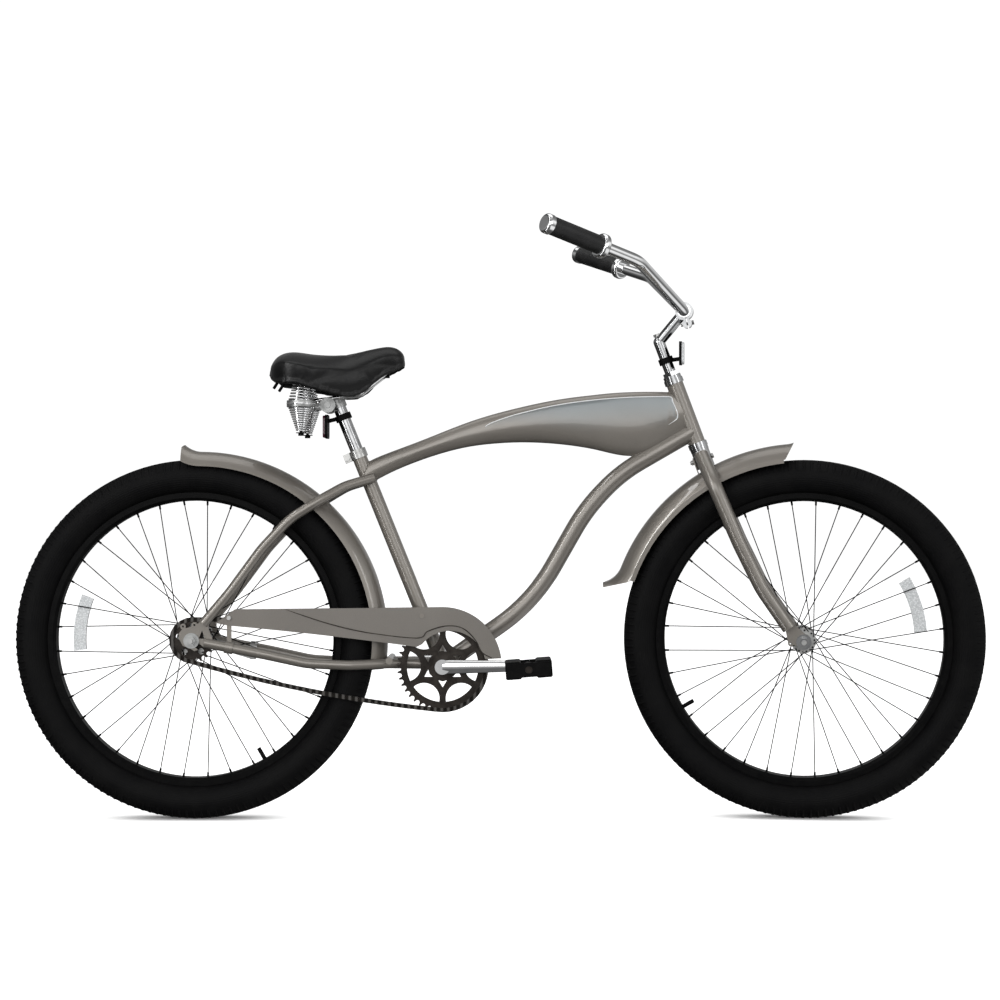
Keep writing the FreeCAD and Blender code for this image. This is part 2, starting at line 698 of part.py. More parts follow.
def tank_section(upper, lower, half_width, inset):
    """Tall rounded section between an upper and a lower edge point."""
    top = V(upper[0], 0, upper[1])
    bottom = V(lower[0], 0, lower[1])
    up = (top - bottom).normalize()
    top = top - up * inset
    bottom = bottom + up * inset
    radius = half_width - inset
    high = top - up * radius
    low = bottom + up * radius
    bulge = TANK_SIDE_BULGE * (high - low).Length
    middle = (high + low) * 0.5
    aside = V(0, radius - bulge, 0)
    slant = math.sqrt(0.5)
    rounded = V(0, (radius - bulge) * slant, 0)
    half = [low + rounded - up * (radius * slant), low + aside, middle + V(0, radius, 0), high + aside,
            high + rounded + up * (radius * slant)]
    outline = Part.BSplineCurve()
    outline.interpolate([bottom] + half + [top] + [on_side(spot, -1) for spot in reversed(half)], True)
    return Part.Wire([outline.toShape()])


def tank_loft(inset):
    """Top tube that swells into a tank towards the head tube."""
    wires = [tank_section(upper, lower, half_width, inset) for upper, lower, half_width in TANK_STATIONS]
    return Part.makeLoft(wires, True, False)


def make_tank():
    """Hollow tank, mitred to the head, seat and down tubes."""
    tank = tank_loft(0.0).cut(tank_loft(TUBE_SKIN))
    return tank.cut(head_core()).cut(seat_core()).cut(down_tube_core())


def seat_stay_path(side):
    """Curved stay from the side of the seat tube down to the dropout."""
    wide = STAY_SPREAD - 2.5
    points = [V(-244, SEAT_STAY_TOP_SPREAD, 665), V(-300, 37, 648)]
    points += [REAR_AXLE + V(ahead, wide, rise) for ahead, rise in SEAT_STAY_RUN]
    points.append(REAR_AXLE + V(23, STAY_SPREAD, 33))
    return [on_side(point, side) for point in points]


SEAT_STAY_BENDS = [110.0, 110.0, 150.0, 190.0, 500.0]
# Places of the stay ahead of and above the rear axle
SEAT_STAY_RUN = [(243.5, 269.0), (189.5, 235.0), (135.5, 177.0), (74.5, 94.0)]


def chain_stay_path(side):
    """Stay from the bracket shell, past the tyre, to the dropout."""
    points = [BRACKET + V(-12, CHAIN_STAY_FRONT_SPREAD, 2), BRACKET + V(-78.5, 26.5, 5),
              BRACKET + V(-182.5, 53, 2), REAR_AXLE + V(221.5, STAY_SPREAD - 2, -44),
              REAR_AXLE + V(143.5, STAY_SPREAD, -27), REAR_AXLE + V(25, STAY_SPREAD, -4)]
    return [on_side(point, side) for point in points]


CHAIN_STAY_BENDS = [90.0, 90.0, 160.0, 260.0]

# Dropout outline about the axle, in X and Z
DROPOUT_BODY = [(-24, 4), (-24, 14), (-17, 23), (-4, 26), (14, 34), (24, 46), (34, 40), (33, 22), (40, 6),
                (40, -12),
                (26, -14), (14, -17), (6, -20), (-4, -14), (-16, -10)]
DROPOUT_WINDOW = [(14, 4), (26, 4), (21, 20)]
EYELET_SPOTS = [(-16.0, 27.5), (6.0, 30.5)]
SLOT_RUN = (0.778, -0.628)


def at_axle(axle, spot, y):
    """Point given about an axle in X and Z."""
    return V(axle.x + spot[0], y, axle.z + spot[1])


def make_dropout(side):
    """Slotted plate with two threaded eyelets and a window."""
    inner = side * REAR_DROPOUT_INNER
    depth = V(0, side * DROPOUT_THICKNESS, 0)
    plate = closed_face([at_axle(REAR_AXLE, spot, inner) for spot in DROPOUT_BODY]).extrude(depth)
    for spot in EYELET_SPOTS:
        plate = plate.fuse(rod(at_axle(REAR_AXLE, spot, inner), depth, EYELET_RADIUS, DROPOUT_THICKNESS))
    window = closed_face([at_axle(REAR_AXLE, spot, inner) for spot in DROPOUT_WINDOW]).extrude(depth)
    run = V(SLOT_RUN[0], 0, SLOT_RUN[1])
    width = REAR_AXLE_RADIUS + SEAT_GAP
    start = V(REAR_AXLE.x, inner, REAR_AXLE.z) - run * 9
    aside = V(-run.z, 0, run.x) * width
    slot = closed_face([start - aside, start + aside, start + aside + run * 45,
                        start - aside + run * 45]).extrude(depth)
    plate = plate.cut(window).cut(slot).cut(rod(start, depth, width, DROPOUT_THICKNESS))
    for spot in EYELET_SPOTS:
        plate = plate.cut(rod(at_axle(REAR_AXLE, spot, inner), depth, EYELET_BORE, DROPOUT_THICKNESS))
    return plate.removeSplitter()


# Bridges between the stays, by their angle about the rear fender's middle
SEAT_BRIDGE_ANGLE = 48.2
CHAIN_BRIDGE_ANGLE = -6.0
SEAT_BRIDGE = polar(REAR_AXLE + V(REAR_FENDER_SHIFT, 0, 0), REAR_FENDER_RADIUS + BRIDGE_RADIUS + SEAT_GAP,
                    SEAT_BRIDGE_ANGLE)
CHAIN_BRIDGE = polar(REAR_AXLE + V(REAR_FENDER_SHIFT, 0, 0),
                     REAR_FENDER_RADIUS + BRIDGE_RADIUS + SEAT_GAP, CHAIN_BRIDGE_ANGLE)


def fender_bolt_hole(bridge):
    """Clearance hole from a bridge towards the middle of the rear fender."""
    centre = REAR_AXLE + V(REAR_FENDER_SHIFT, 0, 0)
    inward = (centre - bridge).normalize()
    return rod(bridge - inward * 20, inward, FENDER_BOLT_RADIUS + RUNNING_FIT, 40)


def make_stays():
    """Both pairs of stays, each with the bridge between them, cut to what they meet."""
    plates = [make_dropout(side) for side in (-1, 1)]
    tank = tank_loft(0.0)
    save("rear_dropouts", plates)
    for name, path, bends, bridge in (("seat_stays", seat_stay_path, SEAT_STAY_BENDS, SEAT_BRIDGE),
                                      ("chain_stays", chain_stay_path, CHAIN_STAY_BENDS, CHAIN_BRIDGE)):
        tubes = []
        cores = []
        for side, plate in zip((-1, 1), plates):
            tube = swept_tube(path(side), bends, STAY_RADIUS, TUBE_SKIN)
            tube = tube.cut(tank).cut(seat_core()).cut(bracket_core()).cut(plate)
            tubes.append(max(tube.Solids, key=lambda solid: solid.Volume))
            cores.append(swept(path(side), bends, STAY_RADIUS))
        cross = across(bridge, -STAY_SPREAD, STAY_SPREAD, BRIDGE_RADIUS).cut(cores[0]).cut(cores[1])
        cross = cross.cut(fender_bolt_hole(bridge))
        middle = max((solid for solid in cross.Solids), key=lambda solid: -abs(solid.CenterOfMass.y))
        save(name, tubes + [middle])


def make_seat_tube():
    """Seat tube with a clamping slit at the back of its top."""
    tube = ring(BRACKET, SEAT_UP, SEAT_TUBE_RADIUS, POST_RADIUS + RUNNING_FIT,
                SEAT_TUBE_LENGTH).cut(bracket_core())
    slit = Part.makeBox(SEAT_TUBE_RADIUS * 2, 2.0, 34.0, V(-SEAT_TUBE_RADIUS * 2, -1.0, -34.0))
    slit.rotate(V(0, 0, 0), Y_AXIS, -(90 - SEAT_ANGLE))
    return tube.cut(slit.translated(SEAT_TOP))


def make_head_tube():
    """Head tube."""
    return ring(HEAD_LOW, HEAD_UP, HEAD_TUBE_RADIUS, HEAD_TUBE_RADIUS - TUBE_SKIN, HEAD_TUBE_LENGTH)


def make_bearing_cups():
    """Headset cups and bottom bracket cups, each pressed into its tube."""
    cups = []
    press = HEAD_TUBE_RADIUS - TUBE_SKIN
    ball_room = 2 * HEADSET_BALL_RADIUS + RUNNING_FIT
    for seat, outward in ((head_line(0), HEAD_UP * -1), (head_line(HEAD_TUBE_LENGTH), HEAD_UP)):
        cup = fused([rod(seat, outward, CUP_RADIUS, CUP_HEIGHT),
                     rod(seat - outward * CUP_SKIRT, outward, press, CUP_SKIRT)])
        cup = cup.cut(rod(seat - outward * CUP_SKIRT, outward, STEERER_RADIUS + 0.5,
                          CUP_SKIRT + CUP_HEIGHT))
        rim = seat + outward * (CUP_HEIGHT - ball_room)
        room = STEERER_RADIUS + 0.5 + 2 * HEADSET_BALL_RADIUS + 2 * RUNNING_FIT
        cups.append(cup.cut(rod(rim, outward, room, ball_room)))
    ball_circle = BRACKET_CONE_RADIUS + RUNNING_FIT + BRACKET_BALL_RADIUS
    for side in (-1, 1):
        face = side * BRACKET_WIDTH / 2
        cup = fused([across(BRACKET, face, face + side * 3, BRACKET_RADIUS - 0.5),
                     across(BRACKET, face, face - side * 9, BRACKET_BORE)])
        cup = cup.cut(across(BRACKET, face - side * 9, face + side * 3, SPINDLE_RADIUS + 1.5))
        room = ball_circle + BRACKET_BALL_RADIUS + RUNNING_FIT
        cups.append(cup.cut(across(BRACKET, face - side * 5, face + side * 3, room)))
    return cups


def make_frame_balls():
    """Loose balls of the headset, the bottom bracket and the rear hub."""
    circle = STEERER_RADIUS + 0.5 + HEADSET_BALL_RADIUS + RUNNING_FIT
    inset = CUP_HEIGHT - HEADSET_BALL_RADIUS
    balls = ball_ring(head_line(-inset), HEAD_UP, circle, HEADSET_BALL_RADIUS, HEADSET_BALLS)
    balls += ball_ring(head_line(HEAD_TUBE_LENGTH + inset), HEAD_UP, circle, HEADSET_BALL_RADIUS,
                       HEADSET_BALLS)
    circle = BRACKET_CONE_RADIUS + RUNNING_FIT + BRACKET_BALL_RADIUS
    for side in (-1, 1):
        spot = V(BRACKET.x, side * (BRACKET_WIDTH / 2 - 1.5), BRACKET.z)
        balls += ball_ring(spot, Y_AXIS, circle, BRACKET_BALL_RADIUS, BRACKET_BALLS)
    for y in (-31.0, 34.0):
        balls += ball_ring(V(REAR_AXLE.x, y, REAR_AXLE.z), Y_AXIS, REAR_BALL_CIRCLE, HUB_BALL_RADIUS,
                           2 * HUB_BALLS)
    return balls


def collar_bolt():
    """Centre of the seat collar's bolt, behind the collar."""
    level = SEAT_TUBE_LENGTH - SEAT_COLLAR_HEIGHT / 2
    back = V(-SEAT_UP.z, 0, SEAT_UP.x)
    return seat_line(level) + back * (SEAT_COLLAR_RADIUS + 6)


def make_seat_collar():
    """Split collar with two ears round the top of the seat tube."""
    low = seat_line(SEAT_TUBE_LENGTH - SEAT_COLLAR_HEIGHT)
    back = V(-SEAT_UP.z, 0, SEAT_UP.x)
    body = rod(low, SEAT_UP, SEAT_COLLAR_RADIUS, SEAT_COLLAR_HEIGHT)
    ears = []
    for side in (-1, 1):
        near = low + back * (SEAT_TUBE_RADIUS + 1)
        far = low + back * (SEAT_COLLAR_RADIUS + 12)
        corners = [near + V(0, side * 1.5, 0), far + V(0, side * 1.5, 0), far + V(0, side * 6.5, 0),
                   near + V(0, side * 6.5, 0)]
        ears.append(closed_face(corners).extrude(SEAT_UP * SEAT_COLLAR_HEIGHT))
    collar = fused([body] + ears).cut(rod(low, SEAT_UP, SEAT_TUBE_RADIUS, SEAT_COLLAR_HEIGHT))
    gap_corners = [low + V(0, -1.5, 0), low + back * 40 + V(0, -1.5, 0), low + back * 40 + V(0, 1.5, 0),
                   low + V(0, 1.5, 0)]
    collar = collar.cut(closed_face(gap_corners).extrude(SEAT_UP * SEAT_COLLAR_HEIGHT))
    return collar.cut(across(collar_bolt(), -8, 8, 3.0 + RUNNING_FIT))


def bolt(head_at, direction, shank_radius, length, head_radius, head_height):
    """Hexagon-head bolt whose head's underside is at a point, with the shank along a direction."""
    way = V(direction).normalize()
    return fused([hexagon(head_at, way * -1, head_radius, head_height),
                  rod(head_at, way, shank_radius, length)])


def make_frame_bolts():
    """Seat collar bolt and nut, fender bolts and chain guard screws."""
    spot = collar_bolt()
    bolts = [bolt(V(spot.x, -6.5, spot.z), Y_AXIS, 3.0, 18, 5.6, 4.0)]
    nut = hexagon(V(spot.x, 6.5, spot.z), Y_AXIS, 5.6, 4.5)
    bolts.append(nut.cut(across(spot, 6, 12, 3.0)))
    centre = REAR_AXLE + V(REAR_FENDER_SHIFT, 0, 0)
    for bridge in (SEAT_BRIDGE, CHAIN_BRIDGE):
        inward = (centre - bridge).normalize()
        head = bridge - inward * BRIDGE_RADIUS
        shank = 2 * BRIDGE_RADIUS + SEAT_GAP + FENDER_SHEET + 4.5
        bolts.append(bolt(head, inward, FENDER_BOLT_RADIUS, shank, 4.6, 3.5))
        inside = bridge + inward * (BRIDGE_RADIUS + 2 * SEAT_GAP + FENDER_SHEET)
        bolts.append(hexagon(inside, inward, 4.6, 4.0).cut(rod(head, inward, FENDER_BOLT_RADIUS, shank)))
    outer = GUARD_Y - GUARD_SHEET
    for spot in (GUARD_REAR_SCREW, GUARD_FRONT_SCREW):
        bolts.append(bolt(V(spot.x, outer - GUARD_EMBOSS, spot.z), Y_AXIS, 2.5, 10, 4.6, 3.0))
    return bolts


# Chain guard

GUARD_TAIL = REAR_AXLE + V(46.5, GUARD_Y, 34)
GUARD_TAIL_TOP = REAR_AXLE + V(82.5, GUARD_Y, 60)
GUARD_TAIL_FOOT = REAR_AXLE + V(71.5, GUARD_Y, 29)
GUARD_CUSP = BRACKET + V(-49.5, GUARD_Y, 38)
GUARD_SWELL = V(-309, GUARD_Y, 357)
GUARD_END_ANGLE = 8.0
GUARD_REAR_SCREW = REAR_AXLE + V(72.5, GUARD_Y, 44)
GUARD_FRONT_SCREW = seat_line(106, GUARD_Y)
GUARD_CREASE = [V(-413, GUARD_Y, 411.4), V(-330, GUARD_Y, 384), V(-257, GUARD_Y, 367),
                V(-159, GUARD_Y, 356), V(-138, GUARD_Y, 369), V(-101, GUARD_Y, 379.5),
                V(-70, GUARD_Y, 374.5), V(-45, GUARD_Y, 351.5), V(-33, GUARD_Y, 329),
                V(-12, GUARD_Y, 317)]


def guard_top_edges(radius, drop):
    """Upper outline of the guard: straight along the chain, then round the chainring."""
    centre = V(BRACKET.x, GUARD_Y, BRACKET.z)
    crest = V(centre.x, GUARD_Y, centre.z + radius)
    end = polar(BRACKET, radius, GUARD_END_ANGLE, GUARD_Y)
    return [line(GUARD_TAIL_TOP - V(0, 0, drop), crest),
            arc(crest, polar(BRACKET, radius, 50, GUARD_Y), end)]


def make_guard():
    """Pressed guard: side sheet, raised upper panel, lip over the chain and the rear clip."""
    window = V(BRACKET.x + GUARD_WINDOW_SHIFT, 0, BRACKET.z)
    end = polar(BRACKET, GUARD_RADIUS, GUARD_END_ANGLE, GUARD_Y)
    window_start = polar(window, GUARD_WINDOW_RADIUS, 12, GUARD_Y)
    window_end = polar(window, GUARD_WINDOW_RADIUS, 141, GUARD_Y)
    outline = guard_top_edges(GUARD_RADIUS, 0.0)
    outline.append(line(end, window_start))
    outline.append(arc(window_start, polar(window, GUARD_WINDOW_RADIUS, 75, GUARD_Y), window_end))
    outline.append(line(window_end, GUARD_CUSP))
    outline.append(arc(GUARD_CUSP, GUARD_SWELL, GUARD_TAIL_FOOT))
    outline.append(line(GUARD_TAIL_FOOT, GUARD_TAIL))
    outline.append(line(GUARD_TAIL, GUARD_TAIL_TOP))
    sheet = Part.Face(Part.Wire(Part.__sortEdges__(outline))).extrude(V(0, -GUARD_SHEET, 0))
    crease = Part.BSplineCurve()
    crease.interpolate(GUARD_CREASE)
    raised = [crease.toShape()]
    inner_end = polar(BRACKET, GUARD_RADIUS, GUARD_END_ANGLE + 1, GUARD_Y)
    crest = V(BRACKET.x, GUARD_Y, BRACKET.z + GUARD_RADIUS)
    raised.append(line(GUARD_CREASE[-1], inner_end))
    raised.append(arc(inner_end, polar(BRACKET, GUARD_RADIUS, 50, GUARD_Y), crest))
    raised.append(line(crest, GUARD_CREASE[0]))
    panel = Part.Face(Part.Wire(raised)).extrude(V(0, -GUARD_EMBOSS, 0)).translated(V(0, -GUARD_SHEET, 0))
    outer = guard_top_edges(GUARD_RADIUS, 0.0)
    inner = guard_top_edges(GUARD_RADIUS - GUARD_SHEET, GUARD_SHEET)
    inner_end = polar(BRACKET, GUARD_RADIUS - GUARD_SHEET, GUARD_END_ANGLE, GUARD_Y)
    ends = [line(GUARD_TAIL_TOP, GUARD_TAIL_TOP - V(0, 0, GUARD_SHEET)), line(end, inner_end)]
    lip = Part.Face(Part.Wire(Part.__sortEdges__(outer + inner + ends))).extrude(V(0, GUARD_LIP, 0))
    sheet = fused([sheet, panel, lip])
    for spot in (GUARD_REAR_SCREW, GUARD_FRONT_SCREW):
        sheet = sheet.cut(across(spot, GUARD_Y + 1, GUARD_Y - 5, 2.5 + RUNNING_FIT))
    return sheet


def stay_point(path, x):
    """Point on a stay's bent runs at a given X."""
    for first, last in zip(path, path[1:]):
        low, high = sorted((first.x, last.x))
        if low <= x <= high:
            share = (x - first.x) / (last.x - first.x)
            return first + (last - first) * share
    return path[-1]


def stay_clip(side, x, width):
    """Strap ring round a chain stay, and the stay's point there."""
    path = chain_stay_path(side)
    spot = stay_point(path, x)
    way = (stay_point(path, x + 5) - spot).normalize()
    start = spot - way * (width / 2)
    return ring(start, way, STAY_RADIUS + 2.2, STAY_RADIUS + 0.05, width), spot


def make_guard_brackets():
    """Rear strap on the chain stay and the stand-off on the seat tube."""
    clip, spot = stay_clip(-1, GUARD_REAR_SCREW.x, 16.0)
    strap = Part.makeBox(9, 2.0, GUARD_REAR_SCREW.z + 6 - spot.z,
                         V(GUARD_REAR_SCREW.x - 4.5, GUARD_Y, spot.z))
    core = rod(spot - V(30, 0, -7.3), V(60, 0, -14.6), STAY_RADIUS + 0.05, 62)
    rear = fused([clip, strap]).cut(core).cut(across(GUARD_REAR_SCREW, GUARD_Y, GUARD_Y + 4, 2.5))
    rear = max(rear.Solids, key=lambda solid: solid.Volume)
    front = across(GUARD_FRONT_SCREW, GUARD_Y, 0, 5.0).cut(seat_core())
    front = min(front.Solids, key=lambda solid: solid.CenterOfMass.y)
    return [rear, front.cut(across(GUARD_FRONT_SCREW, GUARD_Y, GUARD_Y + 10, 2.5))]


# Fenders

def fender_band(centre, radius, first_angle, last_angle, first_flare, last_flare):
    """Arched sheet bent round a wheel, with its ends flared outwards by an angle."""
    edges = []
    start = polar(centre, radius, first_angle)
    if first_flare:
        hinge = polar(centre, radius + FLARE_RADIUS, first_angle)
        tip = polar(hinge, FLARE_RADIUS, first_angle + 180 + first_flare)
        edges.append(arc(tip, polar(hinge, FLARE_RADIUS, first_angle + 180 + first_flare / 2), start))
        start = tip
    finish = polar(centre, radius, last_angle)
    edges.append(arc(polar(centre, radius, first_angle),
                     polar(centre, radius, (first_angle + last_angle) / 2), finish))
    if last_flare:
        hinge = polar(centre, radius + FLARE_RADIUS, last_angle)
        tip = polar(hinge, FLARE_RADIUS, last_angle + 180 - last_flare)
        edges.append(arc(finish, polar(hinge, FLARE_RADIUS, last_angle + 180 - last_flare / 2), tip))
    outward_angle = first_angle + first_flare
    outward = polar(V(0, 0, 0), 1, outward_angle)

    def section(y, rise):
        return start + V(0, y, 0) + outward * rise

    wide, thin = FENDER_HALF_WIDTH, FENDER_SHEET
    profile = [arc(section(-wide, -FENDER_DEPTH), section(0, 0), section(wide, -FENDER_DEPTH)),
               line(section(wide, -FENDER_DEPTH), section(wide - thin, -FENDER_DEPTH)),
               arc(section(wide - thin, -FENDER_DEPTH), section(0, -thin),
                   section(thin - wide, -FENDER_DEPTH)),
               line(section(thin - wide, -FENDER_DEPTH), section(-wide, -FENDER_DEPTH))]
    return Part.Wire(edges).makePipeShell([Part.Wire(profile)], True, False)


# Corners of what is trimmed off the fenders' ends, in X and Z from the wheel's axle
REAR_TAIL_TRIM = [(-24.5, 430), (-24.5, 310), (-106.5, 310), (-106.5, 430)]
FRONT_TIP_TRIM = [(-13.5, 395), (-37.5, 349), (106.5, 349), (106.5, 395)]
FRONT_TAIL_TRIM = [(-413.5, 95), (-331.5, 114), (-331.5, 30), (-413.5, 30)]


def trimming(axle, corners):
    """Block across the fender that takes off an end."""
    flat = [axle + V(ahead, -FENDER_HALF_WIDTH * 2, rise) for ahead, rise in corners]
    return closed_face(flat).extrude(V(0, FENDER_HALF_WIDTH * 4, 0))


def make_rear_fender():
    """Rear fender from the chain stay bridge over the wheel to its duck tail."""
    centre = REAR_AXLE + V(REAR_FENDER_SHIFT, 0, 0)
    band = fender_band(centre, REAR_FENDER_RADIUS, -7.5, 89.5, 0.0, 42.0)
    band = band.cut(trimming(REAR_AXLE, REAR_TAIL_TRIM))
    for bridge in (SEAT_BRIDGE, CHAIN_BRIDGE):
        band = band.cut(fender_bolt_hole(bridge))
    for side in (-1, 1):
        band = band.cut(swept(chain_stay_path(side), CHAIN_STAY_BENDS, STAY_RADIUS + FENDER_NOTCH))
        band = band.cut(swept(seat_stay_path(side), SEAT_STAY_BENDS, STAY_RADIUS + FENDER_NOTCH))
    return band


def make_front_fender():
    """Front fender under the fork crown, with its hanging tab."""
    band = fender_band(FRONT_AXLE, FRONT_FENDER_RADIUS, 95.0, 158.5, 18.0, 56.0)
    band = band.cut(trimming(FRONT_AXLE, FRONT_TIP_TRIM)).cut(trimming(FRONT_AXLE, FRONT_TAIL_TRIM))
    for side in (-1, 1):
        band = band.cut(swept(blade_path(side), BLADE_BENDS, BLADE_RADIUS + FENDER_NOTCH))
    return [band, make_fender_tab()]


FENDER_BOLT_LEVEL = -34.0


def crown_front(distance):
    """Point ahead of the steering axis at the fender bolt's level."""
    forward = V(HEAD_UP.z, 0, -HEAD_UP.x)
    return head_line(FENDER_BOLT_LEVEL) + forward * distance


def make_fender_tab():
    """Tab from the fender's crown up behind the fork crown, where the bolt holds it."""
    back = crown_front(-(CROWN_RADIUS + 0.05))
    behind = crown_front(-(CROWN_RADIUS + 2.05))
    up = HEAD_UP * 8
    half = V(0, 8, 0)
    foot_angle = math.degrees(math.atan2(behind.z - FRONT_AXLE.z, behind.x - FRONT_AXLE.x))
    foot = polar(FRONT_AXLE, FRONT_FENDER_RADIUS + 0.05, foot_angle + 0.5)
    drop = HEAD_UP * -((behind - foot).Length + 6)
    corners = [back + up - half, behind + up - half, behind + drop - half, back + drop - half]
    tab = closed_face(corners).extrude(half * 2)
    wheel_space = across(FRONT_AXLE, -20, 20, FRONT_FENDER_RADIUS + 0.02)
    tab = tab.cut(wheel_space)
    way = crown_front(1) - crown_front(0)
    return tab.cut(rod(crown_front(-60), way, 3.0 + RUNNING_FIT, 60))


def make_fender_bolt():
    """Fore-and-aft bolt through the fork crown, with its nut."""
    way = crown_front(1) - crown_front(0)
    half = CROWN_RADIUS + 0.05
    body = bolt(crown_front(half), way * -1, 3.0, 2 * half + 9, 5.6, 4.0)
    nut = hexagon(crown_front(-(half + 2.05)), way * -1, 5.6, 5.0)
    return [body, nut.cut(rod(crown_front(-60), way, 3.0, 60))]


# Fork

def blade_path(side):
    """Fork blade from the crown outwards, down and forward to its tip."""
    top = head_line(-26) + V(0, 13, 0)
    knee = head_line(-84)
    points = [top, V(knee.x + 4, BLADE_SPREAD, knee.z), V(470, BLADE_SPREAD, 540),
              V(513, BLADE_SPREAD - 2, 453),
              V(FRONT_AXLE.x - 28, BLADE_TIP_SPREAD, FRONT_AXLE.z + 27)]
    return [on_side(point, side) for point in points]


BLADE_BENDS = [BLADE_BEND_RADIUS, 300.0, 200.0]


def crown_core():
    """Outside of the crown under the lower race."""
    top = head_line(-CUP_HEIGHT - RACE_HEIGHT)
    return rod(top, HEAD_UP * -1, CROWN_RADIUS, CROWN_HEIGHT)


def make_steerer():
    """Steerer tube with the crown at its foot."""
    top = HEAD_TUBE_LENGTH + CUP_HEIGHT + RACE_HEIGHT + LOCKNUT_HEIGHT - 1
    foot = -CUP_HEIGHT - RACE_HEIGHT
    steerer = rod(head_line(foot), HEAD_UP, STEERER_RADIUS, top - foot)
    body = fused([steerer, crown_core()])
    body = body.cut(rod(head_line(foot - CROWN_HEIGHT), HEAD_UP, STEERER_BORE, top - foot + CROWN_HEIGHT))
    way = crown_front(1) - crown_front(0)
    return body.cut(rod(crown_front(-40), way, 3.0 + RUNNING_FIT, 80))


TIP_EYELET = (-25.0, -3.0)


def make_fork_tip(side):
    """Slotted tab at the foot of a blade, with an eyelet behind."""
    inner = side * FRONT_DROPOUT_INNER
    depth = V(0, side * TIP_THICKNESS, 0)
    outline = [(-35, 22), (-22, 40), (-8, 24), (11, 9), (14, 0), (11, -9), (0, -13), (-10, -10),
               (-18, -6), (-30, -6), (-31, 2)]
    plate = closed_face([at_axle(FRONT_AXLE, spot, inner) for spot in outline]).extrude(depth)
    eyelet = at_axle(FRONT_AXLE, TIP_EYELET, inner)
    plate = plate.fuse(rod(eyelet, depth, EYELET_RADIUS, TIP_THICKNESS))
    run = V(0.5, 0, -0.866)
    width = FRONT_AXLE_RADIUS + SEAT_GAP
    start = V(FRONT_AXLE.x, inner, FRONT_AXLE.z)
    aside = V(-run.z, 0, run.x) * width
    slot = closed_face([start - aside, start + aside, start + aside + run * 30,
                        start - aside + run * 30]).extrude(depth)
    plate = plate.cut(slot).cut(rod(start, depth, width, TIP_THICKNESS))
    return plate.cut(rod(eyelet, depth, EYELET_BORE, TIP_THICKNESS)).removeSplitter()


def make_fork_blades():
    """Both blades with closed, domed feet, and their slotted tips."""
    solids = []
    for side in (-1, 1):
        path = blade_path(side)
        tip = make_fork_tip(side)
        blade = fused([swept(path, BLADE_BENDS, BLADE_RADIUS), Part.makeSphere(BLADE_RADIUS, path[-1])])
        blade = blade.cut(swept(path, BLADE_BENDS, BLADE_RADIUS - TUBE_SKIN))
        blade = blade.cut(crown_core()).cut(tip)
        solids.append(max(blade.Solids, key=lambda solid: solid.Volume))
        solids.append(tip)
    return solids


def make_headset_races():
    """Crown race, adjusting race and locknut."""
    lower = ring(head_line(-CUP_HEIGHT - RACE_HEIGHT), HEAD_UP, CUP_RADIUS - 1, STEERER_RADIUS,
                 RACE_HEIGHT - RUNNING_FIT)
    top = HEAD_TUBE_LENGTH + CUP_HEIGHT + RUNNING_FIT
    upper = ring(head_line(top), HEAD_UP, CUP_RADIUS - 1.5, STEERER_RADIUS, RACE_HEIGHT - RUNNING_FIT)
    nut_level = head_line(HEAD_TUBE_LENGTH + CUP_HEIGHT + RACE_HEIGHT)
    nut = hexagon(nut_level, HEAD_UP, CUP_RADIUS - 1.5, LOCKNUT_HEIGHT)
    return [lower, upper, nut.cut(rod(nut_level, HEAD_UP, STEERER_RADIUS, LOCKNUT_HEIGHT))]


# Stem and handlebar

def make_stem():
    """Quill stem: shaft, elbow, arm and split barrel."""
    headset_top = HEAD_TUBE_LENGTH + CUP_HEIGHT + RACE_HEIGHT + LOCKNUT_HEIGHT
    foot = head_line(headset_top - STEM_INSERT)
    elbow = head_line((STEM_ELBOW_Z - HEAD_LOW_Z) / HEAD_UP.z)
    shaft = rod(foot, HEAD_UP, STEM_RADIUS, (elbow - foot).Length)
    arm = rod(elbow, BAR_CLAMP - elbow, STEM_ARM_RADIUS, (BAR_CLAMP - elbow).Length)
    barrel = across(BAR_CLAMP, -CLAMP_LENGTH / 2, CLAMP_LENGTH / 2, CLAMP_RADIUS)
    lug = across(stem_lug(), -CLAMP_LENGTH / 2, CLAMP_LENGTH / 2, 9.0)
    stem = fused([shaft, Part.makeSphere(STEM_RADIUS, elbow), arm, barrel, lug])
    stem = stem.cut(across(BAR_CLAMP, -CLAMP_LENGTH, CLAMP_LENGTH, BAR_CENTRE_RADIUS + RUNNING_FIT))
    down = (stem_lug() - BAR_CLAMP).normalize()
    aside = V(-down.z, 0, down.x) * (CLAMP_SLIT / 2)
    start = BAR_CLAMP - V(0, CLAMP_LENGTH, 0)
    slit = closed_face([start - aside, start + aside, start + aside + down * 40,
                        start - aside + down * 40])
    stem = stem.cut(slit.extrude(V(0, 2 * CLAMP_LENGTH, 0)))
    stem = stem.cut(rod(foot, HEAD_UP, 4.0 + RUNNING_FIT, (elbow - foot).Length + 3 * STEM_RADIUS))
    head = head_line((STEM_ELBOW_Z - HEAD_LOW_Z) / HEAD_UP.z + STEM_RADIUS + 0.5)
    stem = stem.cut(rod(head, HEAD_UP, EXPANDER_HEAD + SEAT_GAP, 30))
    across_slit = V(-down.z, 0, down.x)
    return stem.cut(rod(stem_lug() - across_slit * 30, across_slit, 3.0 + RUNNING_FIT, 60))


def stem_lug():
    """Centre of the clamp's bolt lug, under the barrel's front."""
    return BAR_CLAMP + V(6.0, 0, -24.0)


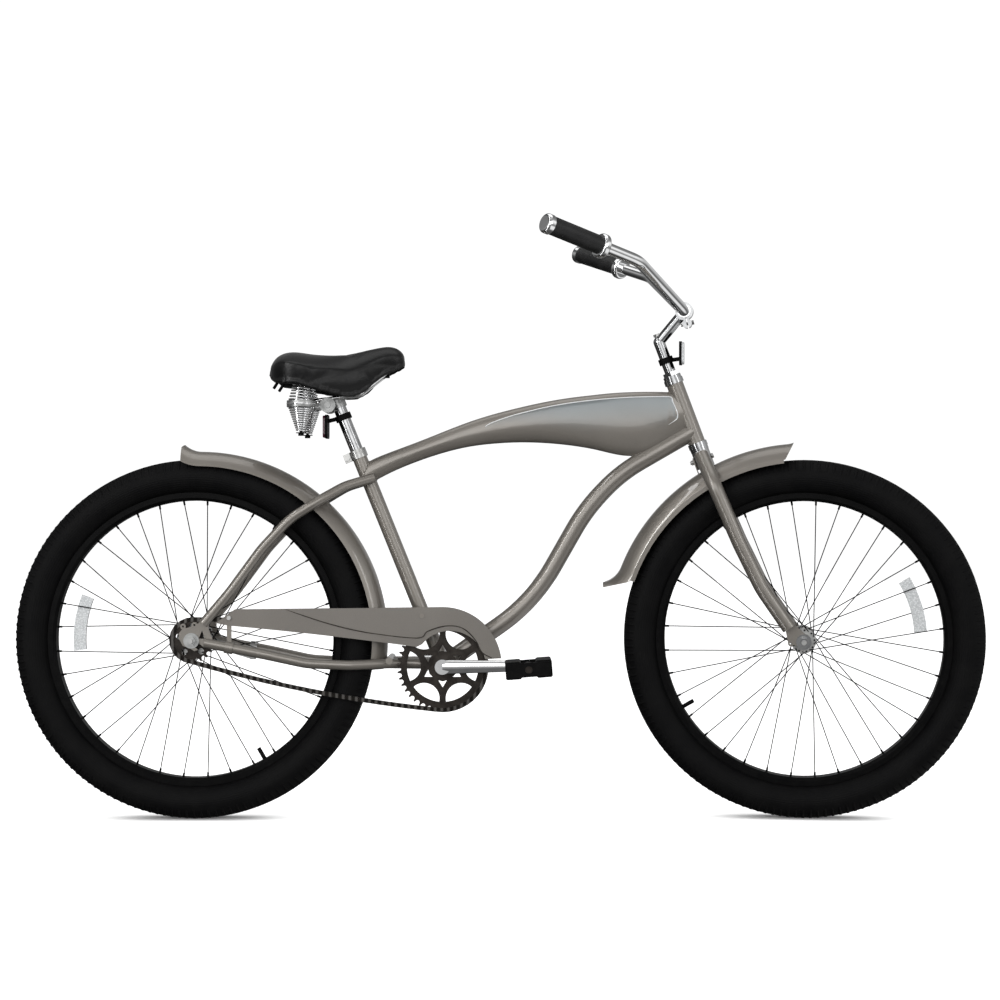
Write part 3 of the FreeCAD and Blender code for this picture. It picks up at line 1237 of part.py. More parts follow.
def make_stem_bolts():
    """Expander bolt with its wedge, and the clamp bolt."""
    headset_top = HEAD_TUBE_LENGTH + CUP_HEIGHT + RACE_HEIGHT + LOCKNUT_HEIGHT
    foot = head_line(headset_top - STEM_INSERT)
    elbow_level = (STEM_ELBOW_Z - HEAD_LOW_Z) / HEAD_UP.z
    head = head_line(elbow_level + STEM_RADIUS + 0.5)
    shank = (head - foot).Length + 22
    expander = bolt(head, HEAD_UP * -1, 4.0, shank, EXPANDER_HEAD, 5.0)
    wedge = ring(foot - HEAD_UP * 22.05, HEAD_UP, STEM_RADIUS, 4.0, 22)
    down = (stem_lug() - BAR_CLAMP).normalize()
    way = V(-down.z, 0, down.x)
    clamp = bolt(stem_lug() + way * 9.05, way * -1, 3.0, 22, 5.0, 4.0)
    return [expander, wedge, clamp]


FRONT_REFLECTOR_X = 352.0
FRONT_REFLECTOR_Z = 908.0
REFLECTOR_HEIGHT = 46.0
REFLECTOR_WIDTH = 58.0
REFLECTOR_BACK = 5.0
REFLECTOR_LENS = 4.0
REFLECTOR_RING = 12.0


def reflector(forward, face_x, centre_z, ring_centre, ring_way, post_radius, arm_rise):
    """Clamp ring, arm and backing as one piece, and the lens on it."""
    band = ring(ring_centre - ring_way * (REFLECTOR_RING / 2), ring_way, post_radius + 3.5,
                post_radius + 0.02, REFLECTOR_RING)
    back_x = face_x if forward > 0 else face_x - REFLECTOR_BACK
    low = V(back_x, -REFLECTOR_WIDTH / 2, centre_z - REFLECTOR_HEIGHT / 2)
    back = Part.makeBox(REFLECTOR_BACK, REFLECTOR_WIDTH, REFLECTOR_HEIGHT, low)
    uprights = [edge for edge in back.Edges if abs(edge.tangentAt(edge.FirstParameter).x) > 0.9]
    back = back.makeFillet(9.0, uprights)
    arm_end = V(back_x + REFLECTOR_BACK / 2, 0, ring_centre.z + arm_rise)
    arm = rod(ring_centre, arm_end - ring_centre, 4.0, (arm_end - ring_centre).Length)
    holder = fused([band, back, arm]).cut(rod(ring_centre - ring_way * 30, ring_way, post_radius + 0.02,
                                              60))
    holder = max(holder.Solids, key=lambda solid: solid.Volume)
    inset = 2.0
    lens_x = face_x + REFLECTOR_BACK if forward > 0 else face_x - REFLECTOR_BACK - REFLECTOR_LENS
    low = V(lens_x, inset - REFLECTOR_WIDTH / 2, centre_z - REFLECTOR_HEIGHT / 2 + inset)
    lens = Part.makeBox(REFLECTOR_LENS, REFLECTOR_WIDTH - 2 * inset, REFLECTOR_HEIGHT - 2 * inset, low)
    uprights = [edge for edge in lens.Edges if abs(edge.tangentAt(edge.FirstParameter).x) > 0.9]
    return [holder, lens.makeFillet(7.0, uprights)]


def bar_path():
    """Handlebar from the right end, through the clamp, to the left end."""
    end = V(*GRIP_END)
    bend = V(*BAR_BEND)
    half = [V(BAR_CLAMP.x, BAR_FLAT_Y, BAR_CLAMP.z), bend, end]
    return [on_side(point, -1) for point in reversed(half)] + [on_side(point, 1) for point in half]


def make_handlebar():
    """Swept-back tube with a thicker sleeve in the clamp."""
    radii = [BAR_BEND_RADIUS] * 4
    outer = swept(bar_path(), radii, BAR_RADIUS)
    half = BAR_CENTRE_LENGTH / 2
    sleeve = across(BAR_CLAMP, -half, half, BAR_CENTRE_RADIUS)
    return fused([outer, sleeve]).cut(swept(bar_path(), radii, BAR_RADIUS - BAR_WALL))


def grip_frame(side):
    """End point of the bar and the way along it towards the bend."""
    end = on_side(V(*GRIP_END), side)
    bend = on_side(V(*BAR_BEND), side)
    return end, (bend - end).normalize()


def make_grips():
    """Sleeve grips, end caps and inner collars for both ends of the bar."""
    grips, trims = [], []
    for side in (-1, 1):
        end, inward = grip_frame(side)
        start = end + inward * 2.0
        hold = BAR_RADIUS + 0.02
        grips.append(ring(start, inward, GRIP_RADIUS, hold, GRIP_LENGTH))
        cap_start = start - inward * GRIP_CAP_LENGTH
        cap = rod(cap_start, inward, GRIP_CAP_RADIUS, GRIP_CAP_LENGTH)
        rims = [edge for edge in cap.Edges if abs((edge.CenterOfMass - cap_start).dot(inward)) < 0.01]
        cap = cap.makeFillet(6.0, rims)
        trims.append(cap.cut(rod(end - inward * 0.05, inward, hold, 30)))
        collar_start = start + inward * GRIP_LENGTH
        collar = ring(collar_start, inward, GRIP_COLLAR_RADIUS, hold, GRIP_COLLAR_LENGTH)
        rims = [edge for edge in collar.Edges if edge.Length > 2 * math.pi * (hold + 2)]
        rims = [edge for edge in rims if edge.Curve.TypeId == "Part::GeomCircle"]
        trims.append(collar.makeFillet(5.0, rims))
    return grips, trims


# Drive

def chain_rollers():
    """Roller centres round both wheels, one pitch apart, with a little slack in the lower run."""
    gap = REAR_AXLE - BRACKET
    distance = gap.Length
    back = V(gap).normalize()
    up = V(-back.z, 0, back.x) if back.x < 0 else V(back.z, 0, -back.x)
    up = up if up.z > 0 else up * -1
    lean = (RING_RADIUS - SPROCKET_RADIUS) / distance
    upright = math.sqrt(1 - lean * lean)
    normal = back * lean + up * upright
    low_normal = back * lean - up * upright
    run = V(back * upright - up * lean)
    start = BRACKET + normal * RING_RADIUS
    straight = distance * upright
    rollers = [start + run * (CHAIN_PITCH * step) for step in range(int(straight / CHAIN_PITCH) + 1)]
    top_angle = math.atan2(normal.z, normal.x)
    low_angle = math.atan2(low_normal.z, low_normal.x) % (2 * math.pi)
    low, high = 0.0, 2 * math.pi / SPROCKET_TEETH
    for _ in range(60):
        middle = (low + high) / 2
        spot = polar(REAR_AXLE, SPROCKET_RADIUS, math.degrees(top_angle + middle))
        if (spot - rollers[-1]).Length < CHAIN_PITCH:
            low = middle
        else:
            high = middle
    sprocket_start = top_angle + low
    angle = sprocket_start
    while angle < low_angle:
        rollers.append(polar(REAR_AXLE, SPROCKET_RADIUS, math.degrees(angle)))
        angle += 2 * math.pi / SPROCKET_TEETH
    front = []
    angle = top_angle - 2 * math.pi / RING_TEETH
    while angle > low_angle - 2 * math.pi:
        front.append(polar(BRACKET, RING_RADIUS, math.degrees(angle)))
        angle -= 2 * math.pi / RING_TEETH
    first, last = rollers[-1], front[-1]
    span = (last - first).Length
    links = math.ceil(span / CHAIN_PITCH)
    if (len(rollers) + len(front) + links - 1) % 2:
        links += 1
    low, high = 1e-7, 2 * math.pi / links
    for _ in range(80):
        middle = (low + high) / 2
        if CHAIN_PITCH * math.sin(links * middle / 2) / math.sin(middle / 2) > span:
            low = middle
        else:
            high = middle
    heading = math.atan2(last.z - first.z, last.x - first.x) - (links - 1) * low / 2
    spot = first
    for _ in range(links - 1):
        spot = spot + V(math.cos(heading), 0, math.sin(heading)) * CHAIN_PITCH
        rollers.append(spot)
        heading += low
    return rollers + list(reversed(front)), math.degrees(top_angle), math.degrees(sprocket_start)


def chain_link(plate_inner, barrel_radius, barrel_reach, bore):
    """One link along +X from the origin: two plates joined by two barrels."""
    outline = [arc(V(0, 0, PLATE_RADIUS), V(-PLATE_RADIUS, 0, 0), V(0, 0, -PLATE_RADIUS)),
               line(V(0, 0, -PLATE_RADIUS), V(CHAIN_PITCH, 0, -PLATE_RADIUS)),
               arc(V(CHAIN_PITCH, 0, -PLATE_RADIUS), V(CHAIN_PITCH + PLATE_RADIUS, 0, 0),
                   V(CHAIN_PITCH, 0, PLATE_RADIUS)),
               line(V(CHAIN_PITCH, 0, PLATE_RADIUS), V(0, 0, PLATE_RADIUS))]
    face = Part.Face(Part.Wire(outline))
    plates = [face.extrude(V(0, PLATE, 0)).translated(V(0, plate_inner, 0)),
              face.extrude(V(0, -PLATE, 0)).translated(V(0, -plate_inner, 0))]
    ends = (V(0, 0, 0), V(CHAIN_PITCH, 0, 0))
    barrels = [across(end, -barrel_reach, barrel_reach, barrel_radius) for end in ends]
    link = fused(plates + barrels)
    if bore:
        for end in ends:
            link = link.cut(across(end, -2 * barrel_reach, 2 * barrel_reach, bore))
    return link


def make_chain(rollers):
    """Closed loop of alternating inner and outer links."""
    outer_gap = PLATE_GAP + PLATE + 0.1
    inner = chain_link(PLATE_GAP, ROLLER_RADIUS, PLATE_GAP + PLATE / 2, PIN_RADIUS + 0.1)
    outer = chain_link(outer_gap, PIN_RADIUS, outer_gap + PLATE + PIN_OVERHANG, 0.0)
    links = []
    for index, (first, last) in enumerate(zip(rollers, rollers[1:] + rollers[:1])):
        link = (outer if index % 2 else inner).copy()
        tilt = math.degrees(math.atan2(last.z - first.z, last.x - first.x))
        link = turned_about(link, V(0, 0, 0), tilt)
        links.append(link.translated(V(first.x, CHAIN_Y, first.z)))
    return links


def toothed_disc(centre, radius, teeth, first_seat):
    """Flat toothed wheel whose roller seats start at an angle."""
    tip = radius + TOOTH_HEIGHT
    tip_half = math.degrees(1.1 / tip)
    step = 360.0 / teeth
    y = CHAIN_Y - TOOTH_THICKNESS / 2
    edges = []
    for index in range(teeth):
        angle = first_seat + index * step
        seat = polar(centre, radius, angle, y)
        out = polar(V(0, 0, 0), 1, angle)
        along = V(-out.z, 0, out.x)
        tooth = angle + step / 2
        next_seat = polar(centre, radius, angle + step, y)
        next_out = polar(V(0, 0, 0), 1, angle + step)
        next_along = V(-next_out.z, 0, next_out.x)
        edges.append(arc(seat - along * SEAT_RADIUS, seat - out * SEAT_RADIUS,
                         seat + along * SEAT_RADIUS))
        edges.append(line(seat + along * SEAT_RADIUS, polar(centre, tip, tooth - tip_half, y)))
        edges.append(line(polar(centre, tip, tooth - tip_half, y),
                          polar(centre, tip, tooth + tip_half, y)))
        edges.append(line(polar(centre, tip, tooth + tip_half, y), next_seat - next_along * SEAT_RADIUS))
    return Part.Face(Part.Wire(edges)).extrude(V(0, TOOTH_THICKNESS, 0))


def make_chainring(first_seat):
    """Chainring with six petal windows and a small window on each arm."""
    disc = toothed_disc(BRACKET, RING_RADIUS, RING_TEETH, first_seat)
    reach = TOOTH_THICKNESS
    band = across(BRACKET, CHAIN_Y - reach, CHAIN_Y + reach, RING_BAND_INNER)
    step = 360.0 / PETALS
    for index in range(PETALS):
        petal = across(polar(BRACKET, PETAL_CENTRE, index * step), CHAIN_Y - reach, CHAIN_Y + reach,
                       PETAL_RADIUS)
        disc = disc.cut(petal.common(band))
        arm = (index + 0.5) * step
        corners = [polar(BRACKET, RING_HUB_RADIUS + 2.5, arm - 17, CHAIN_Y - reach),
                   polar(BRACKET, RING_HUB_RADIUS + 3.5, arm, CHAIN_Y - reach),
                   polar(BRACKET, RING_HUB_RADIUS + 2.5, arm + 17, CHAIN_Y - reach),
                   polar(BRACKET, RING_HUB_RADIUS + 15.0, arm, CHAIN_Y - reach)]
        disc = disc.cut(closed_face(corners).extrude(V(0, 2 * reach, 0)))
    return disc.cut(across(BRACKET, CHAIN_Y - reach, CHAIN_Y + reach, SPINDLE_RADIUS))


def make_sprocket(first_seat):
    """Rear sprocket with cut-outs, and the driver that carries it into the hub."""
    disc = toothed_disc(REAR_AXLE, SPROCKET_RADIUS, SPROCKET_TEETH, first_seat)
    reach = TOOTH_THICKNESS
    driver_radius = REAR_CONE_RADIUS
    for index in range(5):
        spot = polar(REAR_AXLE, 27.0, 72.0 * index + 20)
        disc = disc.cut(across(spot, CHAIN_Y - reach, CHAIN_Y + reach, 6.0))
    disc = disc.cut(across(REAR_AXLE, CHAIN_Y - reach, CHAIN_Y + reach, driver_radius))
    driver = ring_across(REAR_AXLE, CHAIN_Y - TOOTH_THICKNESS, -22.0, driver_radius,
                         REAR_AXLE_RADIUS + RUNNING_FIT)
    return [disc, driver]


def crank_end(side, radius):
    """Point on a crank arm's line, measured from the spindle."""
    angle = CRANK_ANGLE if side < 0 else CRANK_ANGLE + 180
    return polar(BRACKET, radius, angle)


def make_crank():
    """One-piece crank with its two cones and locknut."""
    shapes = [across(BRACKET, -CRANK_ROOT_Y, CRANK_ROOT_Y, SPINDLE_RADIUS)]
    for side in (-1, 1):
        eye = crank_end(side, CRANK_LENGTH)
        way = (crank_end(side, 1) - BRACKET).normalize()
        wires = []
        for spot, y, tall, thick in ((BRACKET, CRANK_ROOT_Y, CRANK_BOSS_RADIUS - 0.5, 8.0),
                                     (eye, CRANK_EYE_Y, CRANK_EYE_RADIUS - 1.5, 6.0)):
            centre = V(spot.x, side * y, spot.z)
            upward = V(-way.z, 0, way.x) if way.x > 0 else V(way.z, 0, -way.x)
            wires.append(Part.Wire(Part.Ellipse(centre + upward * tall, centre + V(0, thick, 0),
                                                centre).toShape()))
        shapes.append(Part.makeLoft(wires, True, True))
        shapes.append(across(BRACKET, side * (CRANK_ROOT_Y - 10), side * (CRANK_ROOT_Y + 7.5),
                             CRANK_BOSS_RADIUS))
        half = CRANK_EYE_WIDTH / 2
        shapes.append(across(eye, side * (CRANK_EYE_Y - half), side * (CRANK_EYE_Y + half),
                             CRANK_EYE_RADIUS))
    crank = fused(shapes)
    for side in (-1, 1):
        eye = crank_end(side, CRANK_LENGTH)
        crank = crank.cut(across(eye, side * (CRANK_EYE_Y - 15), side * (CRANK_EYE_Y + 15),
                                 PEDAL_SPINDLE_RADIUS))
    ring_back = CHAIN_Y + TOOTH_THICKNESS / 2
    cone_inner = BRACKET_WIDTH / 2 - BRACKET_CONE_DEPTH
    right = ring_across(BRACKET, -cone_inner, ring_back, BRACKET_CONE_RADIUS, SPINDLE_RADIUS)
    left = ring_across(BRACKET, cone_inner, cone_inner + 12, BRACKET_CONE_RADIUS, SPINDLE_RADIUS)
    shoulder = ring_across(BRACKET, CHAIN_Y - TOOTH_THICKNESS / 2, -(CRANK_ROOT_Y - 10),
                           CRANK_BOSS_RADIUS, SPINDLE_RADIUS)
    nut = hexagon(V(BRACKET.x, cone_inner + 12, BRACKET.z), Y_AXIS, 18.0,
                  6.0).cut(across(BRACKET, 0, 60, SPINDLE_RADIUS))
    return [crank, right, left, shoulder, nut]


def make_pedal(side):
    """Pedal body with its bearing tube, end plates and two treads."""
    eye = crank_end(side, CRANK_LENGTH)
    near, far = PEDAL_START_Y, PEDAL_START_Y + PEDAL_WIDTH
    tube = across(eye, side * near, side * far, PEDAL_TUBE_RADIUS)
    low = min(side * near, side * far)
    plates = []
    for y in (low, low + PEDAL_WIDTH - PEDAL_PLATE):
        corner = V(eye.x - PEDAL_LENGTH / 2 + 3, y, eye.z - PEDAL_HEIGHT / 2 + 3)
        plates.append(Part.makeBox(PEDAL_LENGTH - 6, PEDAL_PLATE, PEDAL_HEIGHT - 6, corner))
    cage = fused([tube] + plates).cut(across(eye, 0, side * 260, PEDAL_SPINDLE_RADIUS + RUNNING_FIT))
    solids = [cage]
    for way in (-1, 1):
        centre_x = eye.x + way * (PEDAL_LENGTH - PEDAL_TREAD) / 2
        corner = V(centre_x - PEDAL_TREAD / 2, low + PEDAL_PLATE, eye.z - PEDAL_HEIGHT / 2)
        tread = Part.makeBox(PEDAL_TREAD, PEDAL_WIDTH - 2 * PEDAL_PLATE, PEDAL_HEIGHT, corner)
        long_edges = [edge for edge in tread.Edges if abs(edge.tangentAt(edge.FirstParameter).y) > 0.9]
        tread = tread.makeFillet(4.0, long_edges)
        solids.append(tread)
    return [turned_about(solid, eye, PEDAL_TILT) for solid in solids]


def make_pedal_spindles():
    """Spindle of each pedal, screwed into the crank's eye."""
    solids = []
    for side in (-1, 1):
        eye = crank_end(side, CRANK_LENGTH)
        inner = CRANK_EYE_Y - CRANK_EYE_WIDTH / 2
        outer = PEDAL_START_Y + PEDAL_WIDTH
        shank = across(eye, side * inner, side * (outer - 4), PEDAL_SPINDLE_RADIUS)
        shoulder_start = CRANK_EYE_Y + CRANK_EYE_WIDTH / 2
        shoulder = across(eye, side * shoulder_start, side * (shoulder_start + 5),
                          PEDAL_SPINDLE_RADIUS + 2.5)
        solids.append(fused([shank, shoulder]))
    return solids


# Rear hub's fixed pieces

def make_rear_axle():
    """Threaded axle with the brake cone and the spacers on it."""
    plate_outer = REAR_DROPOUT_INNER + DROPOUT_THICKNESS
    reach = plate_outer + WASHER + NUT_HEIGHT + AXLE_OVERHANG
    shoulder = reach - AXLE_OVERHANG
    axle = fused([across(REAR_AXLE, -shoulder, shoulder, REAR_AXLE_RADIUS),
                  across(REAR_AXLE, -reach, reach, AXLE_STUB_RADIUS)])
    cone = ring_across(REAR_AXLE, 28.0, BRAKE_ARM_Y, REAR_CONE_RADIUS, REAR_AXLE_RADIUS)
    driver_end = CHAIN_Y - TOOTH_THICKNESS - SEAT_GAP
    right_spacer = ring_across(REAR_AXLE, driver_end, -REAR_DROPOUT_INNER, 9.0, REAR_AXLE_RADIUS)
    left_spacer = ring_across(REAR_AXLE, BRAKE_ARM_Y + BRAKE_ARM_SHEET, REAR_DROPOUT_INNER, 9.0,
                              REAR_AXLE_RADIUS)
    return [axle, cone, right_spacer, left_spacer]


BRAKE_ARM_Y = 44.5
BRAKE_ARM_SHEET = 3.0
BRAKE_ARM_END = V(-487.0, BRAKE_ARM_Y, 313.0)


def make_brake_arm():
    """Reaction arm of the coaster brake, and the clip that holds it to the left chain stay."""
    hub_spot = V(REAR_AXLE.x, BRAKE_ARM_Y, REAR_AXLE.z)
    way = (BRAKE_ARM_END - hub_spot).normalize()
    aside = V(-way.z, 0, way.x)
    depth = V(0, BRAKE_ARM_SHEET, 0)
    strip = closed_face([hub_spot + aside * 11, BRAKE_ARM_END + aside * 6, BRAKE_ARM_END - aside * 6,
                         hub_spot - aside * 11])
    arm = fused([strip.extrude(depth), rod(hub_spot, Y_AXIS, 16.0, BRAKE_ARM_SHEET),
                 rod(BRAKE_ARM_END, Y_AXIS, 6.0, BRAKE_ARM_SHEET)])
    arm = arm.cut(rod(hub_spot, Y_AXIS, REAR_AXLE_RADIUS, BRAKE_ARM_SHEET))
    arm = arm.cut(rod(BRAKE_ARM_END, Y_AXIS, 2.5, BRAKE_ARM_SHEET))
    clip, spot = stay_clip(1, BRAKE_ARM_END.x, 14.0)
    tab_y = BRAKE_ARM_Y + BRAKE_ARM_SHEET
    tab = Part.makeBox(12, 2.0, spot.z - BRAKE_ARM_END.z + 4,
                       V(BRAKE_ARM_END.x - 6, tab_y, BRAKE_ARM_END.z - 6))
    core = rod(spot - V(30, 0, -7.0), V(60, 0, -14.0), STAY_RADIUS + 0.05, 62)
    strap = fused([clip, tab]).cut(core).cut(rod(BRAKE_ARM_END, Y_AXIS, 2.5, 12))
    strap = max(strap.Solids, key=lambda solid: solid.Volume)
    screw = bolt(V(BRAKE_ARM_END.x, BRAKE_ARM_Y, BRAKE_ARM_END.z), Y_AXIS, 2.5, 9, 4.6, 3.5)
    return [arm, strap, screw]


def make_brake_shoes():
    """Two half-round shoes between the axle and the hub's bore."""
    band = ring_across(REAR_AXLE, -14.0, 22.0, REAR_HUB_BORE - 1.0, REAR_AXLE_RADIUS + 5)
    split = Part.makeBox(80, 60, 2.0, V(REAR_AXLE.x - 40, -30, REAR_AXLE.z - 1))
    return band.cut(split).Solids


# Seat

def post_point(distance):
    """Point on the seat post's axis, measured up from its datum near the top of the seat tube."""
    return seat_line(SEAT_POST_DATUM + distance)


def make_seat_post():
    """Post with a thinner neck for the saddle clamp."""
    low = post_point(-POST_INSERT)
    shaft = rod(low, SEAT_UP, POST_RADIUS, POST_INSERT + POST_EXPOSED - POST_NECK)
    neck = rod(low, SEAT_UP, POST_TOP_RADIUS, POST_INSERT + POST_EXPOSED)
    post = fused([shaft, neck])
    return post.cut(rod(low, SEAT_UP, POST_TOP_RADIUS - 2.0, POST_INSERT + POST_EXPOSED - POST_NECK))


def saddle_tilt_axis():
    """Centre of the saddle clamp's cross bolt, behind the post's neck."""
    back = V(-SEAT_UP.z, 0, SEAT_UP.x)
    return post_point(POST_EXPOSED - POST_NECK / 2) + back * SADDLE_CLAMP_BEHIND


def make_saddle_clamp():
    """Collar on the post's neck with the cross boss for the bolt."""
    low = post_point(POST_EXPOSED - POST_NECK)
    collar = rod(low, SEAT_UP, POST_TOP_RADIUS + 4.5, POST_NECK - 2)
    boss = across(saddle_tilt_axis(), -CLAMP_BOSS_HALF, CLAMP_BOSS_HALF, 9.5)
    body = fused([collar, boss]).cut(rod(low - SEAT_UP * 5, SEAT_UP, POST_TOP_RADIUS, POST_NECK + 10))
    return body.cut(across(saddle_tilt_axis(), -40, 40, 4.0 + RUNNING_FIT))


def make_clamp_plates():
    """Ridged discs that grip the rails, with the cross bolt."""
    axis = saddle_tilt_axis()
    inner = CLAMP_BOSS_HALF + SEAT_GAP
    outer = RAIL_HALF_SPREAD + 8
    solids = []
    for side in (-1, 1):
        disc = across(axis, side * inner, side * outer, SADDLE_CLAMP_RADIUS)
        groove = swept(rail_path(side)[1:-1], RAIL_BENDS[1:-1], RAIL_RADIUS + 0.02)
        disc = disc.cut(groove).cut(across(axis, -60, 60, 4.0))
        solids.append(max(disc.Solids, key=lambda solid: solid.Volume))
    shank = bolt(V(axis.x, -outer, axis.z), Y_AXIS, 4.0, 2 * outer + 8, 6.5, 4.0)
    nut = hexagon(V(axis.x, outer, axis.z), Y_AXIS, 6.5, 5.5).cut(across(axis, 0, 60, 4.0))
    return solids + [shank, nut]


def rail_path(side):
    """Rail from the nose's cross bar down to the clamp and back to the spring's ring."""
    axis = saddle_tilt_axis()
    points = [V(NOSE_PIVOT_X, 0, NOSE_PIVOT_Z), V(NOSE_PIVOT_X, NOSE_PIVOT_HALF + 5, NOSE_PIVOT_Z),
              V(-274, RAIL_HALF_SPREAD, 826), V(axis.x - 22, RAIL_HALF_SPREAD, axis.z + 9.5),
              V(SPRING_X + 3, SPRING_Y - SPRING_RING_RADIUS, SPRING_RING_Z)]
    return [on_side(point, side) for point in points]


RAIL_BENDS = [9.0, 22.0, 20.0]


def make_rails():
    """Wire rails ending in a ring under each spring, joined by the nose's cross bar."""
    shapes = []
    for side in (-1, 1):
        shapes.append(swept(rail_path(side), RAIL_BENDS, RAIL_RADIUS))
        centre = V(SPRING_X, side * SPRING_Y, SPRING_RING_Z)
        shapes.append(Part.makeTorus(SPRING_RING_RADIUS, RAIL_RADIUS, centre, V(0, 0, 1)))
    return fused(shapes)


def arc_from_tangent(start, way, end):
    """Round edge that leaves a point along a direction and ends at another point."""
    chord = V(end - start)
    along = V(chord).normalize()
    half = (V(way).normalize() + along).normalize()
    return arc(start, start + half * (chord.Length / (2 * half.dot(along))), end)


def biarc(start, start_way, end, end_way):
    """Two tangent arcs between two points with given directions."""
    gap = end - start
    both = start_way + end_way
    square = 2 * (start_way.dot(end_way) - 1)
    middle = -2 * gap.dot(both)
    rest = gap.dot(gap)
    root = math.sqrt(middle * middle - 4 * square * rest)
    reach = (-middle - root) / (2 * square)
    reach = reach if reach > 0 else (-middle + root) / (2 * square)
    joint = (start + start_way * reach + end - end_way * reach) * 0.5
    joint_way = (joint - (start + start_way * reach)).normalize()
    return [arc_from_tangent(start, start_way, joint), arc_from_tangent(joint, joint_way, end)]


def coil(centre, turns, low_z, high_z, low_radius, high_radius):
    """One unbroken spring of quarter-turn biarcs, with straight ends, and its least gap to itself."""
    def place(angle):
        share = angle / (2 * math.pi * turns)
        radius = low_radius + (high_radius - low_radius) * share
        return V(centre.x + radius * math.cos(angle), centre.y + radius * math.sin(angle),
                 low_z + (high_z - low_z) * share)

    def heading(angle):
        return (place(angle + 1e-4) - place(angle - 1e-4)).normalize()

    quarter = math.pi / 2
    steps = int(turns * 4)
    lead = 2 * SPRING_WIRE_RADIUS
    start, start_way = place(0), heading(0)
    edges = [line(start - start_way * lead, start)]
    for step in range(steps):
        edges += biarc(place(step * quarter), heading(step * quarter), place((step + 1) * quarter),
                       heading((step + 1) * quarter))
    end, end_way = place(steps * quarter), heading(steps * quarter)
    edges.append(line(end, end + end_way * lead))
    profile = Part.Wire(Part.Circle(start - start_way * lead, start_way, SPRING_WIRE_RADIUS).toShape())
    spots = [place(2 * math.pi * turns * index / (turns * 48)) for index in range(turns * 48 + 1)]
    pairs = [(i, j) for i in range(len(spots)) for j in range(i + 24, len(spots))]
    least = min((spots[i] - spots[j]).Length for i, j in pairs)
    return Part.Wire(edges).makePipeShell([profile], True, False), least - 2 * SPRING_WIRE_RADIUS


def make_springs():
    """Load spring above each ring and rebound spring below it."""
    seat = SPRING_RING_Z - RAIL_RADIUS - SEAT_GAP - SPRING_WIRE_RADIUS - SPRING_LEAD_RISE
    springs = []
    for side in (-1, 1):
        centre = V(SPRING_X, side * SPRING_Y, 0)
        lower, lower_gap = coil(centre, LOWER_SPRING_TURNS, LOWER_SPRING_BOTTOM, seat,
                                LOWER_SPRING_END_RADIUS,
                                SPRING_RING_RADIUS - 1)
        base = SPRING_RING_Z + RAIL_RADIUS + SEAT_GAP + SPRING_WIRE_RADIUS + SPRING_LEAD_RISE
        top = SPRING_SEAT_Z - SEAT_GAP - SPRING_WIRE_RADIUS - SPRING_LEAD_RISE
        upper, upper_gap = coil(centre, UPPER_SPRING_TURNS, base, top, SPRING_RING_RADIUS - 1,
                                UPPER_SPRING_END_RADIUS)
        springs += [lower, upper]
    print("saddle springs, least gap of the lower %.2f mm, of the upper %.2f mm" % (lower_gap, upper_gap))
    return springs


# Saddle outline along X: top, skirt's foot, underside's crown and half width
SADDLE_STATIONS = [
    (-448.0, 884.0, 866.0, 874.0, 40.0),
    (-441.0, 895.0, 851.5, 872.0, 78.0),
    (-424.0, 909.0, 844.0, 874.0, 106.0),
    (-394.0, 912.5, 841.0, 876.0, 120.0),
    (-358.0, 906.0, 832.0, 872.0, 113.0),
    (-324.0, 903.5, 824.0, 870.0, 92.0),
    (-291.0, 906.5, 818.0, 872.0, 70.0),
    (-262.0, 914.5, 828.0, 878.0, 54.0),
    (-236.0, 921.5, 851.0, 886.0, 45.0),
    (-209.0, 924.5, 867.0, 892.0, 38.0),
    (-189.0, 915.0, 876.0, 890.0, 28.0),
    (-180.5, 903.0, 884.0, 889.5, 15.0),
]


def cover_section(x, top, foot, crown, half_width):
    """Inverted trough: crowned top, drawn-in sides and a hollow underside."""
    skirt = min(COVER_SKIRT, half_width * 0.3)
    drawn_in = half_width - 0.12 * (top - foot)
    shoulder = foot + 0.62 * (top - foot)
    inner = drawn_in - skirt
    waist = foot + 0.3 * (top - foot)
    points_right = V(x, half_width, shoulder)
    points_left = V(x, -half_width, shoulder)
    swell = half_width - 0.035 * (top - foot)
    return Part.Wire([
        line(V(x, inner, foot), V(x, drawn_in, foot)),
        arc(V(x, drawn_in, foot), V(x, swell, waist), points_right),
        arc(points_right, V(x, 0, top), points_left),
        arc(points_left, V(x, -swell, waist), V(x, -drawn_in, foot)),
        line(V(x, -drawn_in, foot), V(x, -inner, foot)),
        arc(V(x, -inner, foot), V(x, 0, crown), V(x, inner, foot)),
    ])


def make_cover():
    """Padded cover as one crowned form."""
    return Part.makeLoft([cover_section(*station) for station in SADDLE_STATIONS], True, False)


def pan_section(x, top, foot, crown, half_width):
    """Thin shell close under the cover's underside."""
    skirt = min(COVER_SKIRT, half_width * 0.3)
    inner = half_width - 0.12 * (top - foot) - skirt
    rise = crown - foot
    radius = (inner * inner + rise * rise) / (2 * rise)
    centre_z = crown - radius
    reach = math.asin(min(0.98, inner / radius)) * 0.86

    def spot(circle, angle):
        return V(x, circle * math.sin(angle), centre_z + circle * math.cos(angle))

    outer_circle = radius - SEAT_GAP
    inner_circle = outer_circle - PAN_SHEET
    return Part.Wire([
        arc(spot(outer_circle, -reach), spot(outer_circle, 0), spot(outer_circle, reach)),
        line(spot(outer_circle, reach), spot(inner_circle, reach)),
        arc(spot(inner_circle, reach), spot(inner_circle, 0), spot(inner_circle, -reach)),
        line(spot(inner_circle, -reach), spot(outer_circle, -reach)),
    ])


